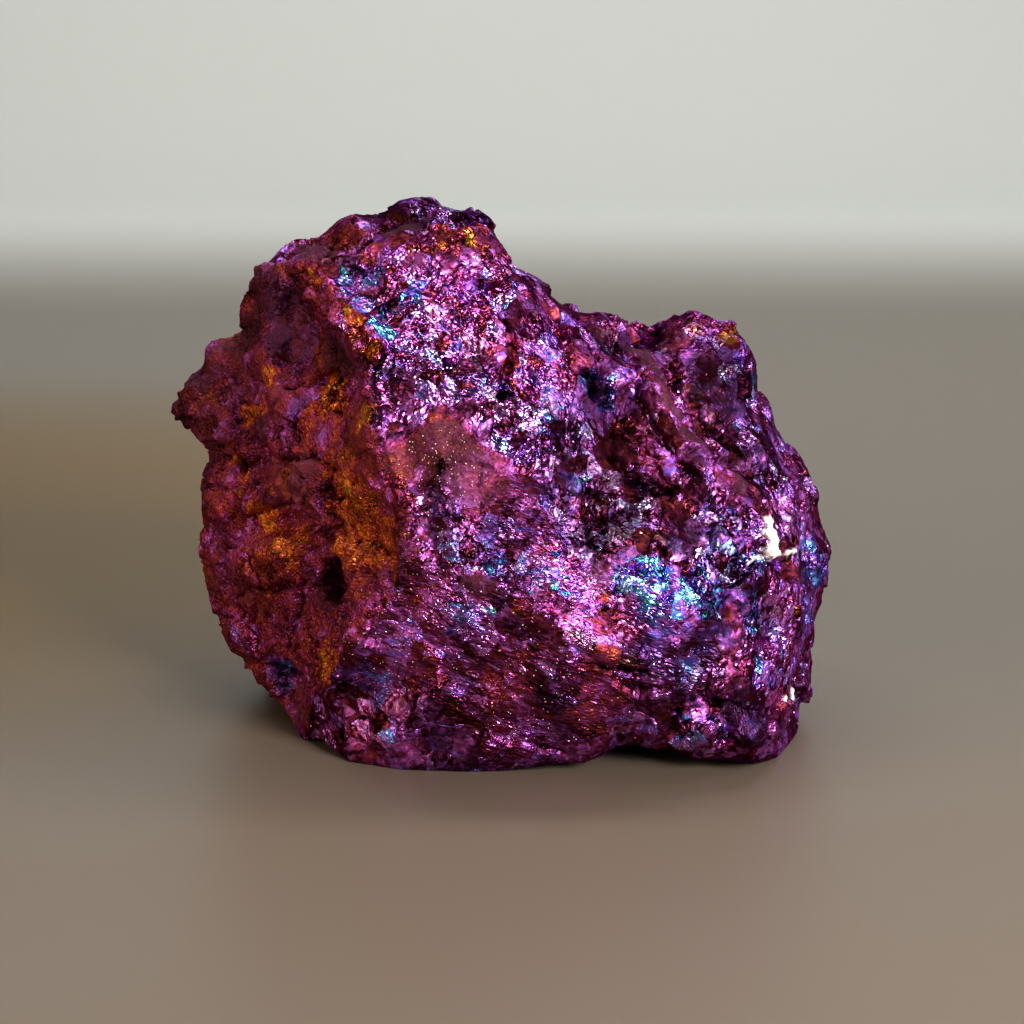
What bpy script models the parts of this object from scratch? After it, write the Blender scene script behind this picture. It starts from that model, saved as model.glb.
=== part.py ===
"""Peacock ore specimen: one lump of tarnished copper ore, broken on every side, resting on its own base.

Run with: blender --background --python part.py

The lump is laid out as a cage of landmarks: the corners where its fracture faces meet. The cage is
skinned, split into small facets, chipped by tilted planes, and set down so that its feet are flat on
the ground. Front landmarks are given as an eye in front of the specimen sees them.
"""
import heapq
import math

import bmesh
import bpy
from mathutils import Vector, geometry, noise

MM = 0.001

# Driving dimensions, in millimetres.
WIDTH = 80.0  # left to right, the size the finished lump is brought to
FACET = 3.0  # longest edge of the finished facets
HEART = Vector((4.0, 0.0, 27.0))  # the middle of the lump, which sees every landmark

# The eye that the front landmarks are laid out for.
EYE_DISTANCE = 242.0
EYE_PITCH = math.radians(16.0)
VIEW_CENTRE = Vector((0.0, -2.0, 24.0))
FORWARD = Vector((0.0, math.cos(EYE_PITCH), -math.sin(EYE_PITCH)))
UPWARD = Vector((0.0, math.sin(EYE_PITCH), math.cos(EYE_PITCH)))
RIGHTWARD = Vector((1.0, 0.0, 0.0))

# Front landmarks: (right, up, depth). Right and up are measured on the view plane, from its centre.
# Depth is the world's Y, which grows away from the eye.
SEEN = {
    "crown": [
        (-12.4, 39.1, 6), (-7.3, 38.6, 5), (-3.6, 36.8, 4), (-15.4, 38.4, 7), (-19.4, 36.8, 7),
        (-24.2, 34.7, 6), (-28.2, 32.4, 5),
    ],
    "saddle": [
        (-1.8, 33.1, 3), (1.0, 30.4, 3), (5.8, 27.0, 2), (10.7, 24.4, 2), (13.4, 23.6, 3),
        (15.2, 22.0, 2),
    ],
    "horn": [
        (17.4, 24.0, 6), (21.4, 25.6, 7), (27.3, 24.6, 6), (30.4, 20.0, 4), (30.6, 15.4, 2),
    ],
    "right shoulder": [
        (33.0, 11.8, 1), (35.8, 7.7, 0), (38.1, 3.6, -1), (38.6, -3.4, -3), (37.8, -9.5, -4),
        (36.8, -15.6, -5), (36.5, -21.6, -7), (35.5, -27.1, -13),
    ],
    "left shoulder": [(-31.8, 29.2, 3), (-32.9, 25.8, 5), (-32.7, 23.6, 6), (-36.2, 20.2, 8)],
    "snout": [(-39.5, 17.6, 9), (-41.3, 13.9, 8), (-39.6, 11.2, 8), (-36.7, 8.3, 6)],
    "left flank": [
        (-37.2, 3.9, 4), (-38.1, -0.4, 3), (-37.8, -5.8, 3), (-36.0, -12.8, 2), (-32.8, -17.4, 0),
        (-29.7, -20.8, -4), (-27.8, -23.5, -8), (-26.1, -27.5, -14),
    ],
    "front foot": [
        (-20.3, -29.8, -21), (-13.6, -30.8, -23.4), (-6.3, -31.1, -24), (-0.2, -30.8, -24),
        (5.8, -29.8, -24), (13.1, -29.2, -24), (20.4, -29.8, -24), (27.7, -30.5, -24),
        (33.2, -29.2, -20.5),
    ],
    "prow": [
        (-24.6, 30.0, -4), (-23.1, 26.7, -8), (-20.3, 23.6, -12), (-16.7, 19.7, -17),
        (-16.8, 13.6, -18), (-15.1, 7.5, -20), (-13.0, 1.5, -23), (-11.8, -4.4, -25),
        (-13.6, -8.3, -25), (-17.3, -12.2, -24), (-20.1, -16.8, -21), (-20.9, -21.6, -19),
        (-24.0, -26.5, -16),
    ],
    "top ledge": [
        (-28.8, 29.2, -1), (-20.9, 30.4, -7), (-14.8, 32.2, -8), (-8.8, 33.8, -6), (-3.6, 34.0, -3),
        (-17.3, 34.5, 0), (-8.8, 36.1, 0),
    ],
    "upper front": [
        (-10.0, 27.0, -12), (-1.5, 25.8, -9), (5.8, 22.1, -7), (-10.0, 18.5, -18),
        (-1.5, 17.3, -16), (7.1, 14.8, -13), (13.1, 17.3, -7), (-8.8, 10.0, -21),
        (-1.5, 8.8, -20), (5.8, 6.3, -17), (11.9, 7.5, -13),
    ],
    "belly": [
        (-7.5, 1.5, -24), (1.0, 0.2, -22), (9.5, 0.2, -17), (-5.1, -5.8, -26.5), (2.2, -5.8, -26),
        (5.8, -7.7, -27), (10.7, -10.7, -28), (15.6, -7.7, -25), (20.4, -10.7, -26),
        (14.3, -14.3, -27),
    ],
    "lower front": [
        (-7.5, -10.7, -27), (1.0, -12.5, -28), (10.7, -17.4, -28), (20.4, -21.6, -27),
        (-11.2, -20.4, -25.5), (-1.5, -21.6, -26.5), (8.3, -24.7, -26),
    ],
    "spur below the notch": [
        (14.8, 21.2, 0), (15.8, 17.9, -3.5), (17.7, 13.8, -7.5), (19.5, 10.0, -10.5),
        (22.9, 6.3, -13.5), (27.1, 3.6, -14.5), (31.0, 0.9, -14), (13.7, 19.3, -2), (14.6, 15.5, -6),
        (16.5, 10.0, -11), (18.8, 5.0, -14.5), (22.3, 1.8, -17),
    ],
    "valley": [(12.5, 11.0, -10), (9.5, 5.8, -14), (14.0, 6.0, -12.5), (16.0, 1.5, -15.5)],
    "right front": [
        (22.9, -1.6, -19), (27.7, -1.0, -18), (21.6, -5.2, -22), (30.4, -5.8, -20),
        (35.0, -5.2, -13), (31.4, -2.2, -16),
    ],
    "horn face": [
        (18.6, 20.6, 0), (22.9, 20.3, -3), (27.1, 19.3, -4), (21.6, 14.6, -5), (25.5, 13.0, -6.5),
        (28.6, 14.6, -5), (26.0, 8.2, -10.5), (30.4, 8.6, -9), (34.3, 3.0, -9),
    ],
    "right foot": [
        (27.7, -11.9, -23), (33.8, -10.7, -17), (28.9, -18.6, -24), (34.4, -19.2, -17),
        (23.5, -27.1, -26), (28.3, -25.9, -25.5), (33.2, -25.3, -20),
    ],
    "left face": [
        (-27.0, 27.0, -3), (-29.4, 22.1, 1), (-25.8, 20.9, -4), (-20.9, 17.3, -10),
        (-31.2, 17.3, 2), (-36.1, 14.8, 4), (-27.0, 13.6, -7), (-20.9, 10.0, -14), (-33.7, 10.0, 1),
        (-28.2, 5.1, -8), (-20.9, 2.7, -16), (-34.3, 1.5, -1), (-27.0, -3.4, -10),
        (-19.7, -4.0, -18), (-33.7, -7.1, -3), (-27.0, -11.9, -10), (-21.5, -10.7, -16),
        (-32.5, -14.3, -3), (-25.8, -19.2, -11),
    ],
}

# Landmarks behind and below, as plain (x, y, z).
HIDDEN = {
    "back of the crown": [
        (-12, 17, 60), (-24, 16, 54.5), (-3, 14, 55.5), (5, 14, 48), (14, 13, 41.5), (21, 14, 43.5),
        (28, 12, 41),
    ],
    "back of the snout": [(-38.5, 13.5, 37.5), (-36, 15, 41), (-31, 16, 44)],
    "upper back": [(-16, 23, 48), (-3, 22, 45), (12, 22, 37), (25, 19, 35)],
    "middle of the back": [
        (-36, 15, 31), (-28, 22, 33), (-14, 27, 33), (2, 26, 29), (16, 25, 27), (30, 19, 26),
        (36, 10, 28), (38, 4, 17),
    ],
    "lower back": [
        (-34, 13, 16), (-24, 21, 17), (-8, 26, 15), (8, 24, 13), (22, 22, 14), (33, 13, 12),
    ],
    "back foot": [
        (-29, 9, 1), (-22, 17, -0.5), (-8, 21, -0.5), (8, 19, 0.5), (22, 17, -0.5), (31, 6, 0),
    ],
    "underside": [
        (34, -6, 0.5), (-31, 1, 2), (0, 0, 1.5), (-14, -7, -0.6), (14, -5, 1.5), (-10, 9, -0.6),
        (12, 9, 1), (24, -10, -0.6), (-22, 3, -0.3), (4, -14, -0.4), (24, 4, -0.6),
    ],
}

# Local forms on the front, as the eye sees them: mounds, or pits where the height is below zero, each
# (right, up, reach, height).
MOUNDS = [
    (23.3, -27.3, 4.6, 1.8),  # nodule at the right foot
    (30.2, -26.6, 4.4, 1.4),  # the nodule beside it
    (6.6, -9.0, 6.0, 1.6),  # bright boss on the belly
    (18.4, -9.0, 6.0, 1.5),  # the boss to its right
    (-25.6, 24.0, 5.6, -2.6),  # hollow below the ledge's corner
    (-20.4, 17.6, 4.6, -2.2),  # hollow below the flake
    (-21.8, -7.8, 3.0, -2.6),  # dark pit low on the left face
    (-27.6, -20.0, 3.8, -2.4),  # slot at the left foot
    (-33.0, 8.6, 4.4, -1.6),  # dent below the snout
    (-33.5, -5.0, 4.6, 1.2),  # lump on the left flank
    (-1.4, 13.6, 3.2, -1.4),  # small pit on the upper front
    (14.2, -30.0, 5.2, -1.8),  # gap under the front foot
    (12.6, 8.4, 5.0, -1.6),  # deep part of the valley
    (27.4, 13.2, 4.2, -1.8),  # hollow in the horn
    (22.6, 22.0, 3.4, 1.0),  # block on the horn
    (31.6, 8.4, 3.4, 1.0),  # block on the right shoulder
]

# Ridges and grooves on the front: (reach, height, points), each point (right, up).
CRESTS = [
    (3.4, 1.2, [(-28.5, 29.6), (-23.5, 31.0), (-18.5, 31.6), (-13.0, 33.0), (-3.4, 33.2)]),  # ledge
    (3.4, 2.2, [(-23.4, 28.6), (-22.4, 25.6), (-18.8, 22.6), (-16.8, 20.4), (-16.6, 17.4)]),  # flake
    (4.0, 1.2, [(-16.6, 12.0), (-14.0, 4.0), (-12.0, -3.6), (-16.0, -10.6), (-20.6, -19.0)]),  # prow
    (2.8, 1.3, [(14.6, 19.0), (17.6, 12.6), (20.4, 8.4), (25.0, 4.6), (30.4, 1.2)]),  # spur
    (3.6, 1.4, [(1.0, -10.4), (6.0, -13.4), (11.6, -15.8), (19.0, -18.4), (26.0, -20.0)]),  # belly
    (3.6, -1.6, [(-7.6, 14.4), (-1.0, 8.6), (5.0, 4.6), (11.0, 1.6)]),  # trough across the front
    (2.8, -2.4, [(-31.6, -1.0), (-27.6, 0.0), (-23.4, -1.2)]),  # recess over the left shelf
    (2.6, 1.4, [(-31.4, -3.8), (-27.0, -3.4), (-22.4, -4.6)]),  # the left shelf
    (2.6, -1.4, [(-34.4, 13.0), (-31.8, 9.0), (-31.6, 4.0)]),  # groove behind the snout
    (3.2, 1.0, [(-30.0, 19.0), (-26.0, 15.0), (-24.6, 10.0), (-26.0, 5.4)]),  # rib on the left face
    (2.6, -1.2, [(15.8, 21.8), (18.6, 17.4), (21.4, 12.4), (25.4, 8.8)]),  # groove behind the spur
    (3.0, -1.2, [(21.6, -4.6), (26.4, -6.4), (30.6, -9.6), (33.0, -14.6)]),  # groove over the foot
]

# Chipping: the surface is cut by one tilted plane for each cell of the rock.
CHIPS = [
    # (cell size, depth, where its cells fall)
    (9.5, 1.2, Vector((3.1, 7.7, 1.3))),
    (4.6, 0.8, Vector((5.9, 2.3, 8.1))),
]
CELL_VARIETY = 5.3  # how much neighbouring cells differ
CELL_TILT, CELL_STEP = 1.6, 0.6  # shares of a chip's depth that are slope and height
CELL_BLEND = 0.3  # width of the bevel between two cells, as a share of their size
GRAIN_SIZE, GRAIN_DEPTH = 3.0, 0.3  # a last unevenness, so that no two facets lie in one plane
SWELL = 0.6  # makes up for what the cage's straight edges leave out
FOOT_CALM = 3.0  # chipping fades out below this height, so that the feet stay level

ORE_COLOUR = (0.23, 0.035, 0.16, 1.0)


def seen_at(right, up, depth):
    """The point at this depth that the eye sees right and up of the view's centre."""
    eye = VIEW_CENTRE - EYE_DISTANCE * FORWARD
    ray = VIEW_CENTRE + right * RIGHTWARD + up * UPWARD - eye
    return eye + ray * (depth - eye.y) / ray.y


def landmarks():
    front = [seen_at(*place) for places in SEEN.values() for place in places]
    behind = [Vector(place) for places in HIDDEN.values() for place in places]
    return front + behind


def skin_of(points):
    """A closed skin of triangles over the points, all of which the heart sees.

    The corners are joined as the convex hull joins their directions from the heart, so that hollows
    stay hollow.
    """
    sphere = bmesh.new()
    number = {}
    for point in points:
        number[sphere.verts.new((point - HEART).normalized())] = len(number)
    bmesh.ops.convex_hull(sphere, input=sphere.verts)
    triangles = sorted(tuple(sorted(number[corner] for corner in face.verts)) for face in sphere.faces)
    sphere.free()

    skin = bmesh.new()
    corners = [skin.verts.new(point) for point in points]
    for triangle in triangles:
        skin.faces.new([corners[each] for each in triangle])
    bmesh.ops.recalc_face_normals(skin, faces=skin.faces)
    return skin


def split_into_facets(skin):
    """Halves the longest edge, again and again, until no edge is longer than a facet.

    The ridges of the cage stay sharp, and the facets well shaped.
    """
    waiting = [(-edge.calc_length(), number, edge) for number, edge in enumerate(skin.edges)]
    heapq.heapify(waiting)
    turn = len(waiting)
    while -waiting[0][0] > FACET:
        edge = heapq.heappop(waiting)[2]
        middle = bmesh.utils.edge_split(edge, edge.verts[0], 0.5)[1]
        on_edge = {middle, *(half.other_vert(middle) for half in middle.link_edges)}
        for face in list(middle.link_faces):
            opposite = next(corner for corner in face.verts if corner not in on_edge)
            bmesh.utils.face_split(face, middle, opposite)
        for edge in middle.link_edges:
            turn += 1
            heapq.heappush(waiting, (-edge.calc_length(), turn, edge))


def plane_height(cell_place, cell_middle):
    """Height of one cell's tilted plane over this place."""
    mark = cell_middle * CELL_VARIETY
    tilt = Vector((noise.noise(mark), noise.noise(mark.yzx), noise.noise(mark.zxy)))
    return CELL_TILT * tilt.dot(cell_place - cell_middle) + CELL_STEP * noise.noise(-mark)


def chip_height(place, size, shift):
    """Height of the chipped surface here: the nearest cell's plane, bevelled into its neighbours'."""
    cell_place = place / size + shift
    distances, middles = noise.voronoi(cell_place)
    total = weight = 0.0
    for distance, middle in zip(distances, middles):
        share = max(0.0, 1.0 - (distance - distances[0]) / CELL_BLEND)
        total += share * plane_height(cell_place, middle)
        weight += share
    return total / weight


def seen_from_eye(place):
    """Where the eye sees this place, right and up of the view's centre."""
    ray = place - (VIEW_CENTRE - EYE_DISTANCE * FORWARD)
    spot = ray * (EYE_DISTANCE / ray.dot(FORWARD))
    return Vector((spot.dot(RIGHTWARD), spot.dot(UPWARD)))


def distance_to_run(spot, points):
    """Distance from a spot to the run of straight stretches through these points."""
    distances = []
    for start, end in zip(points, points[1:]):
        nearest, share = geometry.intersect_point_line(spot, start, end)
        nearest = nearest if 0.0 < share < 1.0 else Vector(end if share >= 1.0 else start)
        distances.append((spot - nearest.to_2d()).length)
    return min(distances)


def form_height(place):
    """Height of the local forms here. The side away from the eye has none."""
    if (place - HEART).dot(FORWARD) > 0.0:
        return 0.0
    spot = seen_from_eye(place)
    height = 0.0
    for right, up, reach, rise in MOUNDS:
        nearness = max(0.0, 1.0 - (spot - Vector((right, up))).length / reach)
        height += rise * nearness * nearness * (3.0 - 2.0 * nearness)
    for reach, rise, points in CRESTS:
        height += rise * max(0.0, 1.0 - distance_to_run(spot, points) / reach)
    return height


def break_surface(skin):
    """Moves each corner in or out along its line from the heart."""
    for corner in skin.verts:
        place = corner.co.copy()
        outward = (place - HEART).normalized()
        roughness = sum(depth * chip_height(place, size, shift) for size, depth, shift in CHIPS)
        roughness += GRAIN_DEPTH * noise.noise(place / GRAIN_SIZE) + SWELL
        calm = min(max(place.z / FOOT_CALM, 0.0), 1.0)
        corner.co = place + outward * (roughness * calm + form_height(place))


def level_the_feet(skin):
    """Flattens what would reach below the ground, so that the lump rests on flat patches."""
    for corner in skin.verts:
        corner.co.z = max(corner.co.z, 0.0)


def bring_to_size(skin):
    """Scales the lump to its width, and centres it over the origin with its feet at zero."""
    low = Vector(min(corner.co[axis] for corner in skin.verts) for axis in range(3))
    high = Vector(max(corner.co[axis] for corner in skin.verts) for axis in range(3))
    middle = Vector(((low.x + high.x) / 2, (low.y + high.y) / 2, low.z))
    scale = WIDTH / (high.x - low.x) * MM
    for corner in skin.verts:
        corner.co = (corner.co - middle) * scale


def ore_material():
    material = bpy.data.materials.new("tarnished_ore")
    material.use_nodes = True
    surface = material.node_tree.nodes["Principled BSDF"]
    surface.inputs["Base Color"].default_value = ORE_COLOUR
    surface.inputs["Metallic"].default_value = 0.8
    surface.inputs["Roughness"].default_value = 0.35
    return material


def build_ore():
    skin = skin_of(landmarks())
    split_into_facets(skin)
    break_surface(skin)
    level_the_feet(skin)
    bring_to_size(skin)
    bmesh.ops.recalc_face_normals(skin, faces=skin.faces)
    mesh = bpy.data.meshes.new("ore")
    skin.to_mesh(mesh)
    skin.free()
    mesh.materials.append(ore_material())
    ore = bpy.data.objects.new("ore", mesh)
    bpy.context.scene.collection.objects.link(ore)
    return ore


def main():
    for leftover in list(bpy.data.objects):
        bpy.data.objects.remove(leftover)
    build_ore()


main()
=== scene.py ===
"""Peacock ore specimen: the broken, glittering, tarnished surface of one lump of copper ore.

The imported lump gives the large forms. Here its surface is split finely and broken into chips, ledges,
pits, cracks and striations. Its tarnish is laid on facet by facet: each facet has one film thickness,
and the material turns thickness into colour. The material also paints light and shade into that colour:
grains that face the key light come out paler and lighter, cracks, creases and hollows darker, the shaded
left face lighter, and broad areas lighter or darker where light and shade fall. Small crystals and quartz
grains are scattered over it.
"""
import heapq
import itertools
import math

import bmesh
import bpy
import numpy
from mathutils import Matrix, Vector
from mathutils.bvhtree import BVHTree


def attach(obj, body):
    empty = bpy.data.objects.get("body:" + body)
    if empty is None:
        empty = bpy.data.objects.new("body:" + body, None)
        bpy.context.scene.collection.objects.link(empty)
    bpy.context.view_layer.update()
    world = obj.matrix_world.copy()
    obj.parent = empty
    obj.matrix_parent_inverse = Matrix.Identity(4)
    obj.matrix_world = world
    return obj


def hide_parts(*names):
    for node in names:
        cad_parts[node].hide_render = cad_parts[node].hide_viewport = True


bl_info = {
    "name": "Peacock Ore Specimen",
    "version": (1, 0, 0),
    "blender": (4, 5, 0),
    "location": "3D View > Sidebar > Ore",
    "description": "Builds the fine surface, crystals and studio stage of a tarnished ore specimen",
    "category": "Add Mesh",
}

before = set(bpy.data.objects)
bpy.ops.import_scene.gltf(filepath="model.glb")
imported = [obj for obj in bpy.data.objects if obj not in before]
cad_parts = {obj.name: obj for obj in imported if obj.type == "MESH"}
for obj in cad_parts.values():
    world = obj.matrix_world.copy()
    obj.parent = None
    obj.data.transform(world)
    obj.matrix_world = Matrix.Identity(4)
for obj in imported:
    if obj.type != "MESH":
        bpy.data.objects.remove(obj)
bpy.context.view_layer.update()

MM = 0.001

# The eye in front of the specimen, in millimetres: the camera stands here, and the surface is laid out
# as this eye sees it. Right and up are measured on the plane through the view's centre.
EYE_DISTANCE = 242.0
EYE_PITCH = math.radians(16.0)
VIEW_CENTRE = Vector((2.1, 1.5, 24.0))
VIEW_WIDTH = 124.5
FORWARD = Vector((0.0, math.cos(EYE_PITCH), -math.sin(EYE_PITCH)))
UPWARD = Vector((0.0, math.sin(EYE_PITCH), math.cos(EYE_PITCH)))
RIGHTWARD = Vector((1.0, 0.0, 0.0))
EYE = VIEW_CENTRE - EYE_DISTANCE * FORWARD

# Tarnish film, from thin to thick, as the material's ramp has it.
BRASS, GOLD, ORANGE, RED, CRIMSON = 0.02, 0.1, 0.2, 0.3, 0.4
MAROON, MAGENTA, VIOLET, INDIGO, BLUE, CYAN = 0.5, 0.6, 0.7, 0.8, 0.88, 0.97

# Zones of tarnish on the side that faces the eye: (right, up, reach, film, shine). Shine runs from 0,
# a matt coat, over 0.5, plain ore, to 1, glittering crystal faces.
ZONES = {
    # the shaded left face
    "left face's lower half": (-25.0, -12.0, 12.0, 0.43, 0.45),
    "gold by the prow": (-18.6, -0.6, 6.0, 0.26, 0.5),
    "orange below it": (-18.4, -4.4, 4.2, 0.25, 0.5),
    "rust along the prow": (-15.2, -5.4, 2.8, ORANGE, 0.5),
    "orange shelf": (-28.0, -3.6, 4.8, 0.27, 0.55),
    "olive crust": (-30.0, -0.4, 2.6, 0.12, 0.5),
    "crimson cheek": (-24.0, 9.0, 5.0, 0.37, 0.55),
    "orange under the cheek": (-20.4, 5.4, 3.6, 0.24, 0.45),
    "rust beside the snout": (-32.0, 12.6, 2.6, 0.24, 0.5),
    "orange by the left edge": (-33.4, 4.4, 2.2, ORANGE, 0.5),
    "purple shoulder": (-31.8, 17.4, 1.9, MAGENTA, 0.35),
    "mauve cheek": (-30.4, 10.0, 3.0, MAROON, 0.12),
    "orange round the fleck": (-30.0, 13.6, 2.4, ORANGE, 0.5),
    "gold fleck": (-29.4, 16.6, 2.3, GOLD, 0.62),
    "magenta by the spot": (-24.3, 14.4, 1.9, MAGENTA, 0.5),
    "purple under the yellow spot": (-23.2, 10.6, 2.2, 0.55, 0.3),
    "navy spot": (-25.8, 12.8, 1.6, 0.72, 0.25),
    "yellow spot by the hollow": (-21.9, 14.3, 2.3, GOLD, 0.65),
    "rust on the prow": (-17.6, 12.0, 1.8, GOLD, 0.6),
    "snout": (-38.0, 14.0, 5.0, 0.35, 0.35),
    "mauve patch": (-25.4, 4.5, 3.2, 0.38, 0.15),
    "lower mauve patch": (-22.5, -9.6, 3.0, MAROON, 0.2),
    "orange heel": (-22.2, -19.0, 4.0, ORANGE, 0.5),
    "magenta heel": (-32.6, -14.6, 4.2, 0.57, 0.7),
    "navy slot": (-27.8, -19.4, 3.4, 0.8, 0.5),
    "slate hollow": (-26.5, 23.5, 5.4, 0.62, 0.2),
    "slate in the hollow": (-28.0, 21.0, 2.4, VIOLET, 0.12),
    "brown floor of the hollow": (-20.6, 18.6, 3.4, CRIMSON, 0.1),
    "slate ledge": (-23.5, 30.8, 3.4, MAROON, 0.05),
    "gilt edge": (-22.0, 26.0, 1.2, GOLD, 0.5),
    "second gilt edge": (-20.6, 23.6, 1.0, GOLD, 0.5),
    "peach flake": (-18.8, 22.2, 2.6, 0.23, 0.9),
    "peach flake's tip": (-17.4, 19.8, 2.0, 0.27, 0.9),
    # the top
    "maroon cap": (-16.0, 35.0, 7.0, MAROON, 0.5),
    "violet cap": (-8.0, 36.0, 5.0, VIOLET, 0.75),
    "gold grain on the cap": (-5.8, 33.4, 1.0, GOLD, 0.8),
    # the bright upper front
    "upper front": (-10.0, 24.0, 9.0, 0.59, 1.0),
    "lilac brow": (-11.0, 27.0, 4.6, 0.63, 1.0),
    "blue corner": (-19.2, 28.6, 2.9, 0.86, 0.9),
    "cyan flecks": (-17.0, 28.4, 1.6, BLUE, 0.9),
    "cyan on the prow": (-16.4, 23.8, 1.3, CYAN, 0.9),
    "blue prow": (-15.6, 21.6, 1.8, BLUE, 0.9),
    "violet prow": (-14.6, 17.6, 3.0, VIOLET, 0.9),
    "right of the brow": (-3.0, 27.6, 5.0, 0.61, 0.85),
    "middle": (0.0, 12.0, 9.0, 0.595, 0.85),
    "blue specks": (11.0, 15.4, 2.4, 0.8, 0.75),
    "cyan grain": (-1.8, 10.2, 1.3, CYAN, 0.9),
    "second cyan grain": (4.0, 9.4, 1.0, CYAN, 0.9),
    "lilac under them": (0.4, 7.4, 3.0, VIOLET, 0.95),
    "saddle": (6.0, 20.0, 6.0, 0.58, 0.75),
    "hot pink plate": (5.0, 18.8, 1.7, 0.62, 0.4),
    # the matt patch and what lies round it
    "rough ore round it": (-8.0, 6.6, 8.0, MAROON, 0.55),
    "matt patch": (-8.6, 8.0, 5.0, CRIMSON, 0.08),
    "its lower part": (-5.0, 4.0, 4.4, MAROON, 0.14),
    "its right part": (-1.0, 4.6, 3.2, MAROON, 0.2),
    "its left part": (-12.6, 6.0, 3.4, CRIMSON, 0.18),
    "speckled field": (-7.0, -4.0, 6.0, 0.63, 0.55),
    "grey streak": (-4.6, -8.4, 2.4, MAROON, 0.1),
    "blue by the pink boss": (0.2, -12.0, 2.6, 0.76, 0.75),
    "violet trough": (1.0, -1.5, 4.0, 0.66, 0.75),
    "blue trough": (-3.0, -5.4, 2.4, 0.74, 0.6),
    # the valley, the spur and the horn
    "valley": (11.6, 6.0, 7.4, 0.545, 0.5),
    "blue in the valley": (7.6, 3.9, 1.6, BLUE, 0.75),
    "lower slope of the spur": (17.6, 6.4, 3.6, 0.64, 0.5),
    "horn": (22.0, 16.0, 7.0, 0.55, 0.62),
    "horn's gold": (26.0, 21.4, 2.2, GOLD, 0.5),
    "horn's red": (22.5, 21.8, 1.2, RED, 0.6),
    "horn's blue": (23.5, 19.8, 1.4, INDIGO, 0.8),
    "horn's pink": (18.8, 17.8, 1.4, MAGENTA, 1.0),
    "horn's hollow": (26.8, 13.4, 3.0, 0.7, 0.2),
    "steel grain": (29.4, 15.4, 1.6, BLUE, 0.7),
    "right shoulder": (31.0, 6.0, 6.0, 0.555, 0.7),
    "right edge": (36.6, -6.0, 4.4, INDIGO, 0.7),
    "foot of the right edge": (35.6, -13.0, 4.0, INDIGO, 0.55),
    # the belly
    "pink boss": (6.0, -7.6, 4.6, 0.59, 1.0),
    "pink boss's foot": (9.8, -12.6, 3.0, MAGENTA, 1.0),
    "lilac boss": (15.4, -8.4, 3.2, 0.74, 1.0),
    "blue boss": (18.4, -9.6, 4.6, 0.88, 1.0),
    "left part of the boss": (13.6, -8.4, 2.4, 0.8, 1.0),
    "right end of the boss": (23.4, -10.2, 2.6, 0.86, 1.0),
    "blue behind it": (22.0, -7.6, 1.6, BLUE, 0.9),
    "cyan on the boss": (16.4, -6.2, 1.2, CYAN, 0.95),
    "cyan by the crack": (20.6, -10.6, 1.4, CYAN, 0.95),
    "cyan drop": (25.4, -9.4, 0.8, CYAN, 0.9),
    "right of the belly": (28.0, -3.0, 5.0, 0.68, 0.9),
    "red block": (17.6, -3.0, 1.8, 0.46, 0.8),
    # the lower front
    "dark foot": (6.0, -21.0, 12.0, 0.53, 0.5),
    "left foot": (-14.0, -20.0, 9.0, 0.58, 0.5),
    "violet foot": (-17.6, -20.0, 4.0, INDIGO, 0.45),
    "hem on the left": (-10.0, -29.0, 6.0, 0.66, 0.5),
    "hem in the middle": (5.0, -29.4, 5.0, 0.64, 0.5),
    "pink foot": (-22.0, -26.0, 4.0, 0.62, 0.6),
    "striped dark": (20.0, -16.0, 5.0, 0.74, 0.5),
    "lilac in the stripes": (18.4, -17.6, 1.5, VIOLET, 0.9),
    "brown foot": (11.0, -23.0, 4.0, MAROON, 0.3),
    "nodule": (22.6, -27.0, 3.4, VIOLET, 0.85),
    "its neighbour": (29.0, -25.8, 3.4, 0.6, 0.35),
    "right foot": (31.0, -17.0, 6.0, 0.68, 0.85),
    "blue by the right foot": (25.0, -15.0, 2.4, 0.82, 0.6),
    "blue below the quartz": (28.6, -11.6, 2.8, 0.74, 0.75),
}
# Outlines on the plane that the eye faces: the left face lies left of the prow, the cap above the ledge.
PROW = (
    (-23.4, 36.0), (-23.4, 30.0), (-20.1, 24.2), (-16.9, 23.0), (-16.6, 19.0), (-17.4, 15.0),
    (-16.4, 10.0), (-14.5, 3.5), (-12.8, -1.3), (-11.6, -5.5), (-14.5, -10.0), (-19.5, -16.0),
    (-23.0, -21.5), (-26.0, -28.0),
)
LEDGE = (
    (-34.0, 24.0), (-30.0, 28.0), (-23.5, 30.4), (-18.5, 30.6), (-14.5, 32.6), (-6.3, 33.6), (-1.8, 32.6),
)
# Edges and bands with a film of their own: (film, shine, reach, points of right and up).
EDGES = {
    "mauve slope": (0.46, 0.14, 2.0, ((-29.6, 27.0), (-31.6, 23.0), (-33.6, 19.2), (-37.4, 15.4))),
    "slate ledge": (MAROON, 0.05, 1.7, ((-25.0, 30.8), (-20.0, 31.2), (-16.0, 32.6), (-12.0, 34.0))),
    "rim of the ledge": (0.17, 0.8, 0.5, ((-8.6, 32.6), (-5.8, 32.8), (-3.2, 32.0))),
    "gilt prow": (GOLD, 0.6, 0.5, ((-24.6, 29.2), (-23.0, 27.0), (-21.8, 25.2))),
    "pale rim of the flake": (0.56, 0.8, 0.5, ((-21.6, 25.6), (-20.6, 22.0), (-18.8, 19.8))),
    "peach crest": (0.33, 0.95, 1.0, ((4.4, -13.0), (8.4, -15.2), (12.2, -17.2), (14.8, -18.2))),
    "rusty rim on the right": (ORANGE, 0.8, 0.5, ((35.4, -8.0), (34.6, -12.0), (33.4, -16.6))),
    "spur": (MAROON, 0.06, 2.3, ((15.4, 19.6), (17.4, 15.0), (20.2, 10.0), (24.4, 5.0), (27.0, 3.4))),
}
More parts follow.
